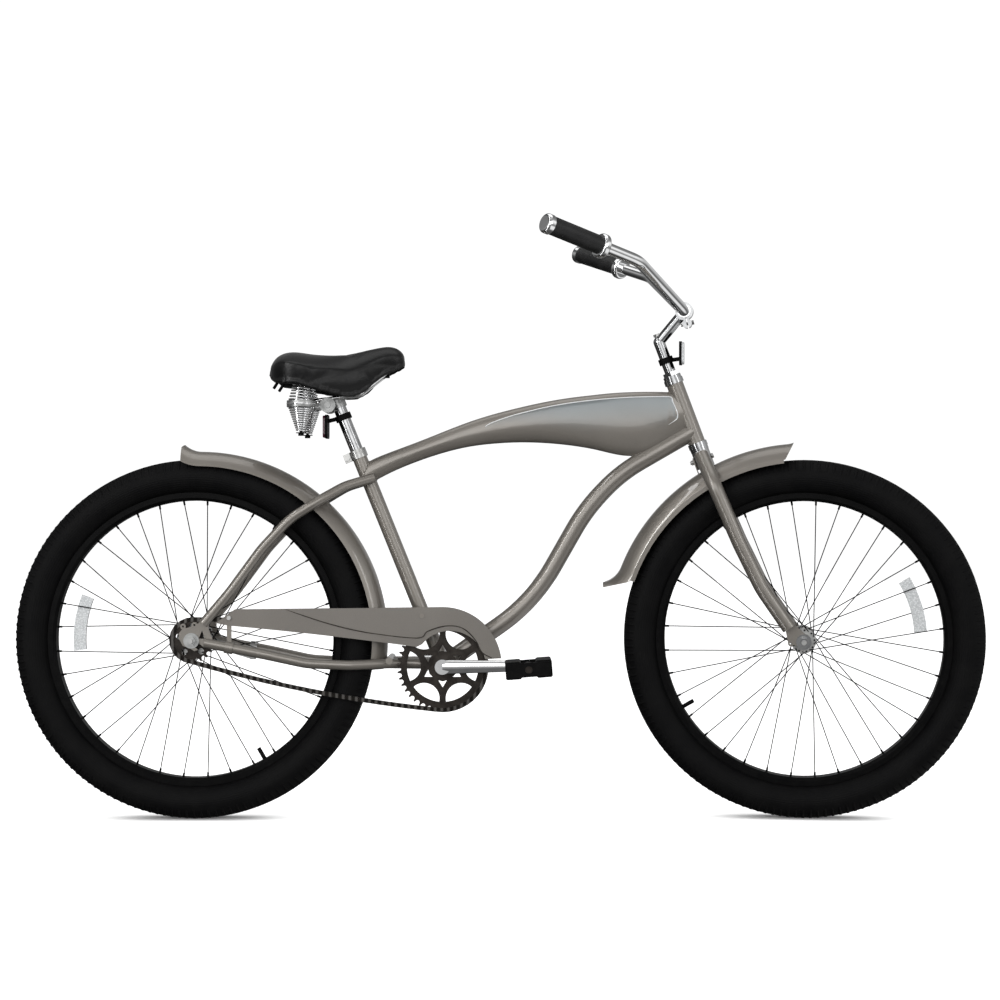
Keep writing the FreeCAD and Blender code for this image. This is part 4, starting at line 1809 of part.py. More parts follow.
def make_pan(cover):
    """Pressed pan with the spring seats and the nose bracket, and the spring bolts."""
    shell = Part.makeLoft([pan_section(*station) for station in SADDLE_STATIONS[2:-2]], True, False)
    seats = []
    for side in (-1, 1):
        foot = V(SPRING_X, side * SPRING_Y, SPRING_SEAT_Z)
        seats.append(rod(foot, V(0, 0, 1), 17.0, 16.0))
    block = Part.makeBox(15, 16, 24, V(NOSE_PIVOT_X - 7.5, -8, NOSE_PIVOT_Z - 6))
    pan = shell.multiFuse(seats + [block]).cut(cover)
    pan = max(pan.Solids, key=lambda solid: solid.Volume)
    pan = pan.cut(across(V(NOSE_PIVOT_X, 0, NOSE_PIVOT_Z), -20, 20, RAIL_RADIUS + RUNNING_FIT))
    solids = [pan]
    for side in (-1, 1):
        head = V(SPRING_X, side * SPRING_Y, LOWER_SPRING_BOTTOM - SPRING_WIRE_RADIUS - SEAT_GAP - 0.6)
        length = SPRING_SEAT_Z - head.z
        washer = rod(head - V(0, 0, 1.5), V(0, 0, 1), LOWER_SPRING_END_RADIUS + 2, 1.5)
        body = bolt(head - V(0, 0, 1.5), V(0, 0, 1), SPRING_BOLT_RADIUS, length + 1.5, 6.0, 5.0)
        solids.append(fused([body, washer]))
    return solids


REAR_REFLECTOR_X = -334.0
REAR_REFLECTOR_DROP = 18.5
REAR_REFLECTOR_BELOW = 20.0


def main():
    """Build and write every node."""
    os.makedirs("parts", exist_ok=True)
    save("head_tube", [make_head_tube()])
    save("top_tube_tank", [make_tank()])
    save("down_tube", [make_down_tube()])
    save("seat_tube", [make_seat_tube()])
    bracket_shell = ring_across(BRACKET, -BRACKET_WIDTH / 2, BRACKET_WIDTH / 2, BRACKET_RADIUS,
                                BRACKET_BORE)
    save("bottom_bracket_shell", [bracket_shell])
    make_stays()
    save("seat_collar", [make_seat_collar()])
    save("bearing_cups", make_bearing_cups())
    save("bearing_balls", make_frame_balls())
    save("rear_fender", [make_rear_fender()])
    save("chain_guard", [make_guard()])
    save("guard_brackets", make_guard_brackets())
    save("frame_bolts", make_frame_bolts())
    save("rear_axle", make_rear_axle())
    save("rear_axle_nuts", axle_nuts(REAR_AXLE, REAR_AXLE_RADIUS, REAR_DROPOUT_INNER + DROPOUT_THICKNESS))
    save("brake_arm", make_brake_arm())
    save("brake_shoes", make_brake_shoes())
    rollers, ring_seat, sprocket_seat = chain_rollers()
    print("chain links %d" % len(rollers))
    save("chain", make_chain(rollers))
    save("chainring", [make_chainring(ring_seat)])
    save("rear_sprocket", make_sprocket(sprocket_seat))
    save("crank", make_crank())
    save("pedal_spindles", make_pedal_spindles())
    save("right_pedal", make_pedal(-1))
    save("left_pedal", make_pedal(1))

    save("fork_steerer", [make_steerer()], True)
    save("fork_blades", make_fork_blades(), True)
    save("headset_races", make_headset_races(), True)
    save("front_fender", make_front_fender(), True)
    save("front_fender_bolt", make_fender_bolt(), True)
    save("front_axle", make_front_axle(), True)
    save("front_axle_nuts", axle_nuts(FRONT_AXLE, FRONT_AXLE_RADIUS, FRONT_DROPOUT_INNER + TIP_THICKNESS),
         True)
    save("stem", [make_stem()], True)
    save("stem_bolts", make_stem_bolts(), True)
    quill_spot = head_line(HEAD_TUBE_LENGTH + CUP_HEIGHT + RACE_HEIGHT + LOCKNUT_HEIGHT + 24)
    save("front_reflector", reflector(1, FRONT_REFLECTOR_X, FRONT_REFLECTOR_Z, quill_spot, HEAD_UP,
                                      STEM_RADIUS, 4.0), True)
    save("handlebar", [make_handlebar()], True)
    grips, trims = make_grips()
    save("grips", grips, True)
    save("grip_trims", trims, True)

    make_wheel(REAR_AXLE, "rear", REAR_FLANGE_RADIUS, REAR_FLANGE_Y, make_rear_hub(), REAR_VALVE_ANGLE,
               REAR_REFLECTOR_ANGLE, False)
    make_wheel(FRONT_AXLE, "front", FRONT_FLANGE_RADIUS, FRONT_FLANGE_Y, make_front_hub(),
               FRONT_VALVE_ANGLE,
               FRONT_REFLECTOR_ANGLE, True)

    save("seat_post", [make_seat_post()])
    save("saddle_clamp", [make_saddle_clamp()])
    save("saddle_clamp_plates", make_clamp_plates())
    save("saddle_rails", [make_rails()])
    save("saddle_springs", make_springs())
    cover = make_cover()
    save("saddle_cover", [cover])
    save("saddle_pan", make_pan(cover))
    ring_spot = post_point(POST_EXPOSED - POST_NECK - REAR_REFLECTOR_BELOW)
    reflector_z = ring_spot.z - REAR_REFLECTOR_DROP
    save("rear_reflector", reflector(-1, REAR_REFLECTOR_X, reflector_z, ring_spot, SEAT_UP, POST_RADIUS,
                                     -8.0))


main()
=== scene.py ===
"""Beach cruiser bicycle: finishes, padded saddle, springs, tread and trim in a pale studio."""

import logging
import math
from dataclasses import dataclass, field
from enum import Enum
from typing import Callable, Optional, Sequence, Union

import bmesh
import bpy
from mathutils import Matrix, Vector
from mathutils.bvhtree import BVHTree
from mathutils.geometry import intersect_ray_tri


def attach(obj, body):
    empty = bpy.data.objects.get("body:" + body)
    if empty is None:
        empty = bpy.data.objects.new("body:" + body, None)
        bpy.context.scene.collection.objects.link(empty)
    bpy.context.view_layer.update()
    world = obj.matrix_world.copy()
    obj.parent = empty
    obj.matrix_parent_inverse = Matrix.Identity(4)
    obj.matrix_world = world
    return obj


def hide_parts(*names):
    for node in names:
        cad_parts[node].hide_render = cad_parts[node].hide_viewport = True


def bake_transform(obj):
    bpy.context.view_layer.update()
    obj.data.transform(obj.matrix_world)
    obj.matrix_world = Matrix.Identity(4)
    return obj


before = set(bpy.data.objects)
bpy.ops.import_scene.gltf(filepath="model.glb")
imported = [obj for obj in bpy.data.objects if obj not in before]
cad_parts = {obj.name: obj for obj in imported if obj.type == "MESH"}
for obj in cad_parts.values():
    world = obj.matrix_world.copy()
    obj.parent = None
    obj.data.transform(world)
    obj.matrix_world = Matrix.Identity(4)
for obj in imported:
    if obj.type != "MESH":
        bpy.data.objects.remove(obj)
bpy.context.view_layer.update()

log = logging.getLogger("cruiser")

TINY = 1e-6
TOUCHING = 1e-5
FRONT_AXLE = Vector((0.5935, 0.0, 0.35))
REAR_AXLE = Vector((-0.5935, 0.0, 0.35))

Number = Union[int, float]
Colour = tuple[float, float, float, float]
Point = tuple[float, float, float]


class Slot(str, Enum):
    """Material slots of the record."""

    PAINT = "frame_paint"
    BLACK_METAL = "black_metal"
    CHROME = "chrome"
    PLATED = "plated_steel"
    TYRE = "tyre_rubber"
    PLASTIC = "black_plastic"
    GRIP = "grip_rubber"
    VINYL = "saddle_vinyl"
    CLEAR = "clear_lens"
    RED = "red_lens"


class Body(str, Enum):
    """Moving bodies that the new pieces ride on."""

    FRAME = "frame"
    STEERING = "steering"
    STEM = "stem"
    FRONT_WHEEL = "front_wheel"
    REAR_WHEEL = "rear_wheel"
    SEAT_POST = "seat_post"
    SADDLE_FRAME = "saddle_frame"
    SADDLE_TOP = "saddle_top"


class Side(Enum):
    """Sides of the bicycle, as the sign of Y."""

    RIGHT = -1
    LEFT = 1

    @property
    def word(self) -> str:
        """The side's name in small letters."""
        return self.name.lower()


class Wire:
    """A node's socket that takes part in ordinary arithmetic."""

    def __init__(self, graph: "Graph", socket: bpy.types.NodeSocket) -> None:
        """Keeps the socket and the graph that it belongs to."""
        self.graph = graph
        self.socket = socket

    def _math(self, operation: str, *values: "Feed") -> "Wire":
        """Adds one Math node on the given values."""
        return self.graph.node("ShaderNodeMath", {"operation": operation}, dict(enumerate(values)))

    def __add__(self, other: "Feed") -> "Wire":
        """Sum."""
        return self._math("ADD", self, other)

    def __sub__(self, other: "Feed") -> "Wire":
        """Difference."""
        return self._math("SUBTRACT", self, other)

    def __rsub__(self, other: "Feed") -> "Wire":
        """Difference, the other way round."""
        return self._math("SUBTRACT", other, self)

    def __mul__(self, other: "Feed") -> "Wire":
        """Product."""
        return self._math("MULTIPLY", self, other)

    def __gt__(self, other: "Feed") -> "Wire":
        """One where this is the greater, else nought."""
        return self._math("GREATER_THAN", self, other)

    def __lt__(self, other: "Feed") -> "Wire":
        """One where this is the smaller, else nought."""
        return self._math("LESS_THAN", self, other)

    def waves(self, pitch: float) -> "Wire":
        """Smooth waves between nought and one, one for each pitch."""
        return self._math("SINE", self * (2 * math.pi / pitch)) * 0.5 + 0.5

    def root(self) -> "Wire":
        """Square root."""
        return self._math("SQRT", self)

    def ramp(self, low: Number, high: Number, first: Number = 0.0, last: Number = 1.0) -> "Wire":
        """Smooth step from first to last.

        Args:
            low: value where the step begins.
            high: value where the step ends.
            first: result below low.
            last: result above high.

        Returns:
            The stepped value.
        """
        settings = {"interpolation_type": "SMOOTHSTEP"}
        ends = {"From Min": low, "From Max": high, "To Min": first, "To Max": last}
        return self.graph.node("ShaderNodeMapRange", settings, {"Value": self, **ends})


Feed = Union[Wire, Number, Sequence[float], bpy.types.ID, str, None]


class Graph:
    """A node tree under construction."""

    def __init__(self, tree: bpy.types.NodeTree) -> None:
        """Keeps the tree that the nodes go into."""
        self.tree = tree

    def feed(self, socket: bpy.types.NodeSocket, value: Feed) -> None:
        """Links a wire to a socket, or sets the socket's own value.

        Args:
            socket: input to be fed.
            value: wire, number, colour, vector or data block.
        """
        if isinstance(value, Wire):
            self.tree.links.new(value.socket, socket)
        else:
            socket.default_value = value

    def node(self, kind: str, settings: Optional[dict] = None, inputs: Optional[dict] = None,
             output: Union[int, str] = 0) -> Wire:
        """Adds one node.

        Args:
            kind: Blender's name of the node's type.
            settings: the node's properties, set before its sockets; "stops" are a ramp's places and colours.
            inputs: values or wires by a socket's name or number.
            output: name or number of the output wanted.

        Returns:
            The chosen output as a wire.
        """
        made = self.tree.nodes.new(kind)
        for name, value in (settings or {}).items():
            if name == "stops":
                self._set_stops(made, value)
            else:
                setattr(made, name, value)
        for key, value in (inputs or {}).items():
            if value is not None:
                self.feed(self._pick(made.inputs, key), value)
        return Wire(self, self._pick(made.outputs, output))

    @staticmethod
    def _set_stops(made: bpy.types.Node, stops: Sequence[tuple[float, Colour]]) -> None:
        """Gives a colour ramp its stops.

        Args:
            made: the ramp's node.
            stops: place and colour of each stop.
        """
        elements = made.color_ramp.elements
        while len(elements) > 1:
            elements.remove(elements[-1])
        elements[0].position, elements[0].color = stops[0]
        for place, colour in stops[1:]:
            elements.new(place).color = colour

    @staticmethod
    def _pick(sockets: bpy.types.bpy_prop_collection, key: Union[int, str]) -> bpy.types.NodeSocket:
        """Finds a socket in use.

        Args:
            sockets: a node's inputs or outputs.
            key: the socket's name or number.

        Returns:
            The socket.
        """
        in_use = [socket for socket in sockets if socket.enabled]
        if isinstance(key, int):
            return in_use[key]
        return next(socket for socket in in_use if socket.name == key)

    def mix(self, share: Feed, first: Feed, second: Feed) -> Wire:
        """Mixes two colours."""
        return self.node("ShaderNodeMix", {"data_type": "RGBA"}, {"Factor": share, "A": first, "B": second})

    def vector(self, operation: str, first: Feed, second: Feed = None, output: str = "Vector") -> Wire:
        """Adds one Vector Math node."""
        return self.node("ShaderNodeVectorMath", {"operation": operation}, {0: first, 1: second}, output)

    def split(self, vector: Wire) -> tuple[Wire, ...]:
        """Splits a vector into its X, Y and Z."""
        parts = self.node("ShaderNodeSeparateXYZ", None, {0: vector}).socket.node.outputs
        return tuple(Wire(self, part) for part in parts)


@dataclass(frozen=True)
class Pattern:
    """Noise pattern: cells a metre, layers of detail and how rough they are."""

    scale: float
    detail: float
    rough: float = 0.55


class Recipe(Graph):
    """A material under construction, with one surface shader."""

    def __init__(self, name: str) -> None:
        """Starts an empty material.

        Args:
            name: the material's name.
        """
        self.material = bpy.data.materials.new(name)
        self.material.use_nodes = True
        super().__init__(self.material.node_tree)
        self.tree.nodes.clear()
        self.shader = self.tree.nodes.new("ShaderNodeBsdfPrincipled")
        self.exit = self.tree.nodes.new("ShaderNodeOutputMaterial")
        self.tree.links.new(self.shader.outputs[0], self.exit.inputs["Surface"])
        self.place = self.node("ShaderNodeTexCoord", output="Object")

    def noise(self, pattern: Pattern) -> Wire:
        """Noise between about 0.25 and 0.75."""
        look = {"Scale": pattern.scale, "Detail": pattern.detail, "Roughness": pattern.rough}
        return self.node("ShaderNodeTexNoise", None, {"Vector": self.place, **look})

    def cells(self, scale: float, feature: str = "F1") -> Wire:
        """Distance to the nearest cell middle, its scale in cells a metre."""
        inputs = {"Vector": self.place, "Scale": scale}
        return self.node("ShaderNodeTexVoronoi", {"feature": feature}, inputs, "Distance")

    def surface(self, **values: Feed) -> None:
        """Sets the shader's sockets, their names written with underscores."""
        for name, value in values.items():
            self.feed(self.shader.inputs[name.replace("_", " ")], value)

    def relief(self, height: Wire, strength: float, depth: float) -> None:
        """Raises the surface by a height.

        Args:
            height: height between 0 and 1.
            strength: share of the bump that shows.
            depth: metres for a height of 1.
        """
        bump = {"Strength": strength, "Distance": depth, "Height": height}
        self.feed(self.shader.inputs["Normal"], self.node("ShaderNodeBump", None, bump))


FLAKES = Pattern(1900.0, 2.0)
DRIFT = Pattern(7.0, 2.0)
HAND_MARKS = Pattern(38.0, 4.0)
FINE_DUST = Pattern(240.0, 3.0)
LACQUER_SKIN = Pattern(420.0, 3.0)
LINE_GRAIN = Pattern(1500.0, 2.0)
CREASE_SHADE_MOTTLE = Pattern(90.0, 4.0)
CREASE_GRAIN = Pattern(800.0, 2.0)
SMEARS = Pattern(55.0, 4.0, 0.6)
SPECKS = Pattern(700.0, 3.0)
STOVED_DUST = Pattern(60.0, 5.0, 0.65)
STOVED_PORES = Pattern(520.0, 3.0)
MOULDED_PORES = Pattern(760.0, 3.0)
TYRE_PORES = Pattern(520.0, 4.0)
TYRE_DUST = Pattern(24.0, 4.0, 0.6)
GRIP_PORES = Pattern(900.0, 3.0)
GRIP_WEAR = Pattern(45.0, 4.0)
SADDLE_WEAR = Pattern(16.0, 4.0, 0.6)
FLOOR_CLOUD = Pattern(1.5, 2.0)


class Finish:
    """A surface finish that makes its material once."""

    name: str
    slot: Slot

    def material(self) -> bpy.types.Material:
        """Makes the finish's material at its first use.

        Returns:
            The one material of that name.
        """
        made = bpy.data.materials.get(self.name)
        if made is None:
            recipe = Recipe(self.name)
            self.mix_up(recipe)
            made = recipe.material
        return made

    def mix_up(self, recipe: Recipe) -> None:
        """Fills the recipe."""
        raise NotImplementedError


@dataclass(frozen=True)
class MetallicPaint(Finish):
    """Warm grey metallic lacquer with fine flakes and a clear coat."""

    name: str = "champagne_paint"
    slot: Slot = Slot.PAINT
    deep: Colour = (0.188, 0.171, 0.151, 1.0)
    bright: Colour = (0.266, 0.245, 0.217, 1.0)
    metallic: float = 0.50
    roughness: float = 0.30

    def mix_up(self, recipe: Recipe) -> None:
        """Fills the recipe."""
        self.lay(recipe, self.tone(recipe))

    def tone(self, recipe: Recipe) -> Wire:
        """Colour of the lacquer: flakes over a slow drift."""
        share = recipe.noise(FLAKES) * 0.75 + recipe.noise(DRIFT) * 0.55 - 0.12
        return recipe.mix(share.ramp(0.1, 0.95), self.deep, self.bright)

    def lay(self, recipe: Recipe, colour: Wire) -> None:
        """Lays the lacquer over a colour.

        Args:
            recipe: material to be filled.
            colour: colour under the clear coat.
        """
        uneven = recipe.noise(HAND_MARKS) * 0.14 + recipe.noise(FINE_DUST) * 0.06
        recipe.surface(Base_Color=colour, Metallic=self.metallic, Coat_Weight=0.85, Coat_Roughness=0.035,
                       Roughness=uneven + self.roughness)
        recipe.relief(recipe.noise(LACQUER_SKIN), strength=0.05, depth=0.00025)


@dataclass(frozen=True)
class TankPanel(MetallicPaint):
    """Pale panel that fades into the frame's colour by the mesh's fade attribute."""

    name: str = "tank_panel_paint"
    pale: Colour = (0.200, 0.223, 0.230, 1.0)

    def mix_up(self, recipe: Recipe) -> None:
        """Fills the recipe."""
        fade = recipe.node("ShaderNodeAttribute", {"attribute_name": "fade"}, None, "Fac")
        self.lay(recipe, recipe.mix(fade.ramp(0.0, 1.0), self.tone(recipe), self.pale))


@dataclass(frozen=True)
class Coating(Finish):
    """Plain paint, enamel or plastic: worn from one tone to another, with fine pores."""

    name: str
    slot: Slot
    fresh: Colour
    worn: Colour
    wear: Pattern
    step: tuple[float, float]
    pores: Pattern
    roughness: float
    rough_by_wear: float
    rough_by_pores: float
    specular: float
    bump: float
    depth: float
    coat: float = 0.0

    def mix_up(self, recipe: Recipe) -> None:
        """Fills the recipe.

        Args:
            recipe: material to be filled.
        """
        wear = recipe.noise(self.wear)
        pores = recipe.noise(self.pores)
        uneven = wear * self.rough_by_wear + pores * self.rough_by_pores
        recipe.surface(Base_Color=recipe.mix(wear.ramp(*self.step), self.fresh, self.worn),
                       Roughness=uneven + self.roughness, Specular_IOR_Level=self.specular,
                       Coat_Weight=self.coat)
        recipe.relief(pores, self.bump, self.depth)


@dataclass(frozen=True)
class Metal(Finish):
    """Bare or plated metal with smears and fine polishing marks."""

    name: str
    slot: Slot
    bright: Colour
    dull: Colour
    roughness: float
    smear: float = 0.10
    brushed: float = 0.05
    speckle: float = 0.5

    def mix_up(self, recipe: Recipe) -> None:
        """Fills the recipe.

        Args:
            recipe: material to be filled.
        """
        smears = recipe.noise(SMEARS)
        specks = recipe.noise(SPECKS)
        colour, metallic = self.overlay(recipe, recipe.mix(smears.ramp(0.25, 0.75), self.bright, self.dull))
        uneven = smears * self.smear + specks * (self.smear * self.speckle)
        recipe.surface(Base_Color=colour, Metallic=metallic, Roughness=uneven + self.roughness)
        recipe.relief(specks, self.brushed, depth=0.0002)

    def overlay(self, recipe: Recipe, plain: Wire) -> tuple[Wire, Feed]:
        """Colour and share of metal over the plain metal; here it stays plain."""
        return plain, 1.0


@dataclass(frozen=True)
class Fastener(Metal):
    """Plated bolts, lacquered with the frame where they hold the chain guard."""

    speckle: float = 0.0
    lacquer: Colour = (0.235, 0.215, 0.190, 1.0)
    outside: float = -0.05
    front: float = -0.30

    def overlay(self, recipe: Recipe, plain: Wire) -> tuple[Wire, Feed]:
        """Lays the lacquer over the bolts of the guard.

        Args:
            recipe: material to be filled.
            plain: colour of the plating.

        Returns:
            The colour and the share of metal.
        """
        along, aside, _ = recipe.split(recipe.place)
        painted = (along > self.front) * (aside < self.outside)
        return recipe.mix(painted, plain, self.lacquer), 1.0 - painted * 0.5


@dataclass(frozen=True)
class ChainSteel(Metal):
    """Dark oiled steel with painted highlights: every other link plate is painted lighter by turns along the
    chain, as a glint.
    """

    speckle: float = 0.0
    pitch: float = 0.0127
    # Painted highlight: colour of the glint laid on every other link plate.
    wear_and_glint: Colour = (0.110, 0.104, 0.098, 1.0)

    def overlay(self, recipe: Recipe, plain: Wire) -> tuple[Wire, Feed]:
        """Paints a glint, a painted highlight, on every other plate."""
        turns = recipe.split(recipe.place)[0].waves(self.pitch)
        return recipe.mix(turns.ramp(0.30, 1.0), plain, self.wear_and_glint), 1.0


@dataclass(frozen=True)
class TyreRubber(Finish):
    """Black tyre rubber: moulded rings on the walls and fine ribs round the crown."""

    name: str
    middle: Point
    axle: Point
    slot: Slot = Slot.TYRE
    fresh: Colour = (0.0026, 0.0026, 0.0029, 1.0)
    dusty: Colour = (0.0056, 0.0055, 0.0056, 1.0)
    crown: tuple[float, float] = (0.3425, 0.3455)
    wall_foot: tuple[float, float] = (0.2895, 0.2915)
    wall_top: tuple[float, float] = (0.318, 0.324)
    ring_pitch: float = 0.0042
    rib_pitch: float = 0.0052

    def mix_up(self, recipe: Recipe) -> None:
        """Fills the recipe.

        Args:
            recipe: material to be filled.
        """
        arm = recipe.vector("SUBTRACT", recipe.place, self.middle)
        across = recipe.vector("DOT_PRODUCT", arm, self.axle, "Value")
        length = recipe.vector("LENGTH", arm, None, "Value")
        radius = (length * length - across * across).root()
        ribs = across.waves(self.rib_pitch) * radius.ramp(*self.crown)
        wall = radius.ramp(*self.wall_foot) * (1 - radius.ramp(*self.wall_top))
        pores = recipe.noise(TYRE_PORES)
        dust = recipe.noise(TYRE_DUST)
        recipe.surface(Base_Color=recipe.mix(dust.ramp(0.3, 0.8), self.fresh, self.dusty),
                       Roughness=dust * 0.22 + pores * 0.1 + 0.48, Specular_IOR_Level=0.09)
        rings = radius.waves(self.ring_pitch) * wall
        recipe.relief(ribs + rings * 0.35 + pores * 0.14, strength=0.75, depth=0.0009)


@dataclass(frozen=True)
class GripRubber(Finish):
    """Soft black grip rubber with fine pores."""

    name: str = "ribbed_grip"
    slot: Slot = Slot.GRIP
    fresh: Colour = (0.010, 0.010, 0.0105, 1.0)
    worn: Colour = (0.020, 0.020, 0.0205, 1.0)

    def mix_up(self, recipe: Recipe) -> None:
        """Fills the recipe.

        Args:
            recipe: material to be filled.
        """
        wear = recipe.noise(GRIP_WEAR)
        recipe.surface(Base_Color=recipe.mix(wear.ramp(0.35, 0.8), self.fresh, self.worn),
                       Roughness=wear * 0.18 + 0.38, Specular_IOR_Level=0.36)
        recipe.relief(recipe.noise(GRIP_PORES) + recipe.cells(620.0) * 0.6, strength=0.35, depth=0.00035)


@dataclass(frozen=True)
class Vinyl(Finish):
    """Black grained saddle vinyl with a soft sheen."""

    name: str = "grained_vinyl"
    slot: Slot = Slot.VINYL
    fresh: Colour = (0.0022, 0.0022, 0.0025, 1.0)
    worn: Colour = (0.0048, 0.0048, 0.0051, 1.0)

    def mix_up(self, recipe: Recipe) -> None:
        """Fills the recipe.

        Args:
            recipe: material to be filled.
        """
        grain = recipe.cells(640.0)
        creases = recipe.cells(260.0, "SMOOTH_F1")
        wear_and_glint = recipe.noise(SADDLE_WEAR)
        recipe.surface(Base_Color=recipe.mix(wear_and_glint.ramp(0.3, 0.8), self.fresh, self.worn),
                       Roughness=wear_and_glint * 0.12 + grain * 0.04 + 0.28, Specular_IOR_Level=0.34)
        recipe.relief(grain * 0.7 + creases * 0.5, strength=0.32, depth=0.0005)


@dataclass(frozen=True)
class Lens(Finish):
    """Moulded reflector lens with rows of small prisms."""

    name: str
    slot: Slot
    low: Colour
    high: Colour

    def mix_up(self, recipe: Recipe) -> None:
        """Fills the recipe.

        Args:
            recipe: material to be filled.
        """
        prisms = recipe.cells(330.0)
        recipe.surface(Base_Color=recipe.mix(prisms.ramp(0.1, 0.7), self.high, self.low),
                       Roughness=prisms * 0.12 + 0.1, Coat_Weight=0.6, Coat_Roughness=0.05)
        recipe.relief(prisms, strength=0.5, depth=0.0009)


PAINT = MetallicPaint()
# Painted shade: a darker copy of the frame's lacquer for the flat chain guard.
SHADED_GUARD_PAINT = MetallicPaint("shaded_guard_paint", Slot.PAINT, (0.150, 0.137, 0.122, 1.0), (0.212, 0.196, 0.175, 1.0))
PANEL = TankPanel()
STRIPE = Coating(
    "silver_line_paint", Slot.PAINT, (0.82, 0.84, 0.85, 1.0), (0.93, 0.94, 0.94, 1.0),
    wear=LINE_GRAIN, step=(0.3, 0.7), pores=LINE_GRAIN, roughness=0.2, rough_by_wear=0.2, rough_by_pores=0.0,
    specular=0.5, bump=0.1, depth=0.0001, coat=0.4)
# Painted shade: a dark line laid in the chain guard's crease, where shade falls, mottled lighter and darker
# by a noise.
CREASE_SHADE = Coating(
    "crease_shade", Slot.PAINT, (0.030, 0.026, 0.022, 1.0), (0.062, 0.055, 0.047, 1.0),
    wear=CREASE_SHADE_MOTTLE, step=(0.3, 0.7), pores=CREASE_GRAIN, roughness=0.45, rough_by_wear=0.3,
    rough_by_pores=0.0, specular=0.15, bump=0.1, depth=0.0002)
BLACK_METAL = Coating(
    "black_enamel", Slot.BLACK_METAL, (0.0024, 0.0024, 0.0026, 1.0), (0.0050, 0.0050, 0.0050, 1.0),
    wear=STOVED_DUST, step=(0.35, 0.8), pores=STOVED_PORES, roughness=0.25, rough_by_wear=0.2,
    rough_by_pores=0.1, specular=0.06, bump=0.25, depth=0.0002)
PLASTIC = Coating(
    "moulded_plastic", Slot.PLASTIC, (0.0032, 0.0032, 0.0034, 1.0), (0.0068, 0.0067, 0.0066, 1.0),
    wear=STOVED_DUST, step=(0.35, 0.8), pores=MOULDED_PORES, roughness=0.37, rough_by_wear=0.2,
    rough_by_pores=0.1, specular=0.06, bump=0.25, depth=0.0003)
CHROME = Metal("polished_chrome", Slot.CHROME, (0.95, 0.955, 0.96, 1.0), (0.84, 0.845, 0.85, 1.0),
               roughness=0.03, smear=0.07, brushed=0.02)
DEEP_CHROME = Metal("deep_chrome", Slot.CHROME, (0.46, 0.465, 0.47, 1.0), (0.33, 0.335, 0.34, 1.0),
                    roughness=0.10, smear=0.08, brushed=0.02)
PLATED = Metal("dull_plating", Slot.PLATED, (0.56, 0.56, 0.55, 1.0), (0.40, 0.40, 0.395, 1.0),
               roughness=0.24, smear=0.2, brushed=0.12)
CLAMP = Metal("pressed_clamp", Slot.PLATED, (0.46, 0.465, 0.46, 1.0), (0.31, 0.315, 0.31, 1.0),
              roughness=0.26, smear=0.2, brushed=0.14)
ALLOY = Metal("brushed_collar", Slot.PLATED, (0.50, 0.50, 0.49, 1.0), (0.38, 0.38, 0.37, 1.0),
              roughness=0.2, smear=0.16, brushed=0.10)
FASTENER = Fastener("plated_bolts", Slot.PLATED, (0.56, 0.56, 0.55, 1.0), (0.40, 0.40, 0.395, 1.0),
                    roughness=0.24, smear=0.2, brushed=0.12)
DARK_STEEL = Metal("dark_steel", Slot.BLACK_METAL, (0.050, 0.044, 0.039, 1.0), (0.026, 0.023, 0.021, 1.0),
                   roughness=0.30, smear=0.2, brushed=0.12)
CHAIN_STEEL = ChainSteel(
    "oiled_chain", Slot.BLACK_METAL, (0.022, 0.020, 0.018, 1.0), (0.010, 0.009, 0.008, 1.0), roughness=0.28)
GRIP = GripRubber()
VINYL = Vinyl()
CLEAR = Lens("clear_prisms", Slot.CLEAR, (0.62, 0.64, 0.65, 1.0), (0.88, 0.90, 0.91, 1.0))
RED = Lens("red_prisms", Slot.RED, (0.060, 0.003, 0.018, 1.0), (0.150, 0.006, 0.042, 1.0))


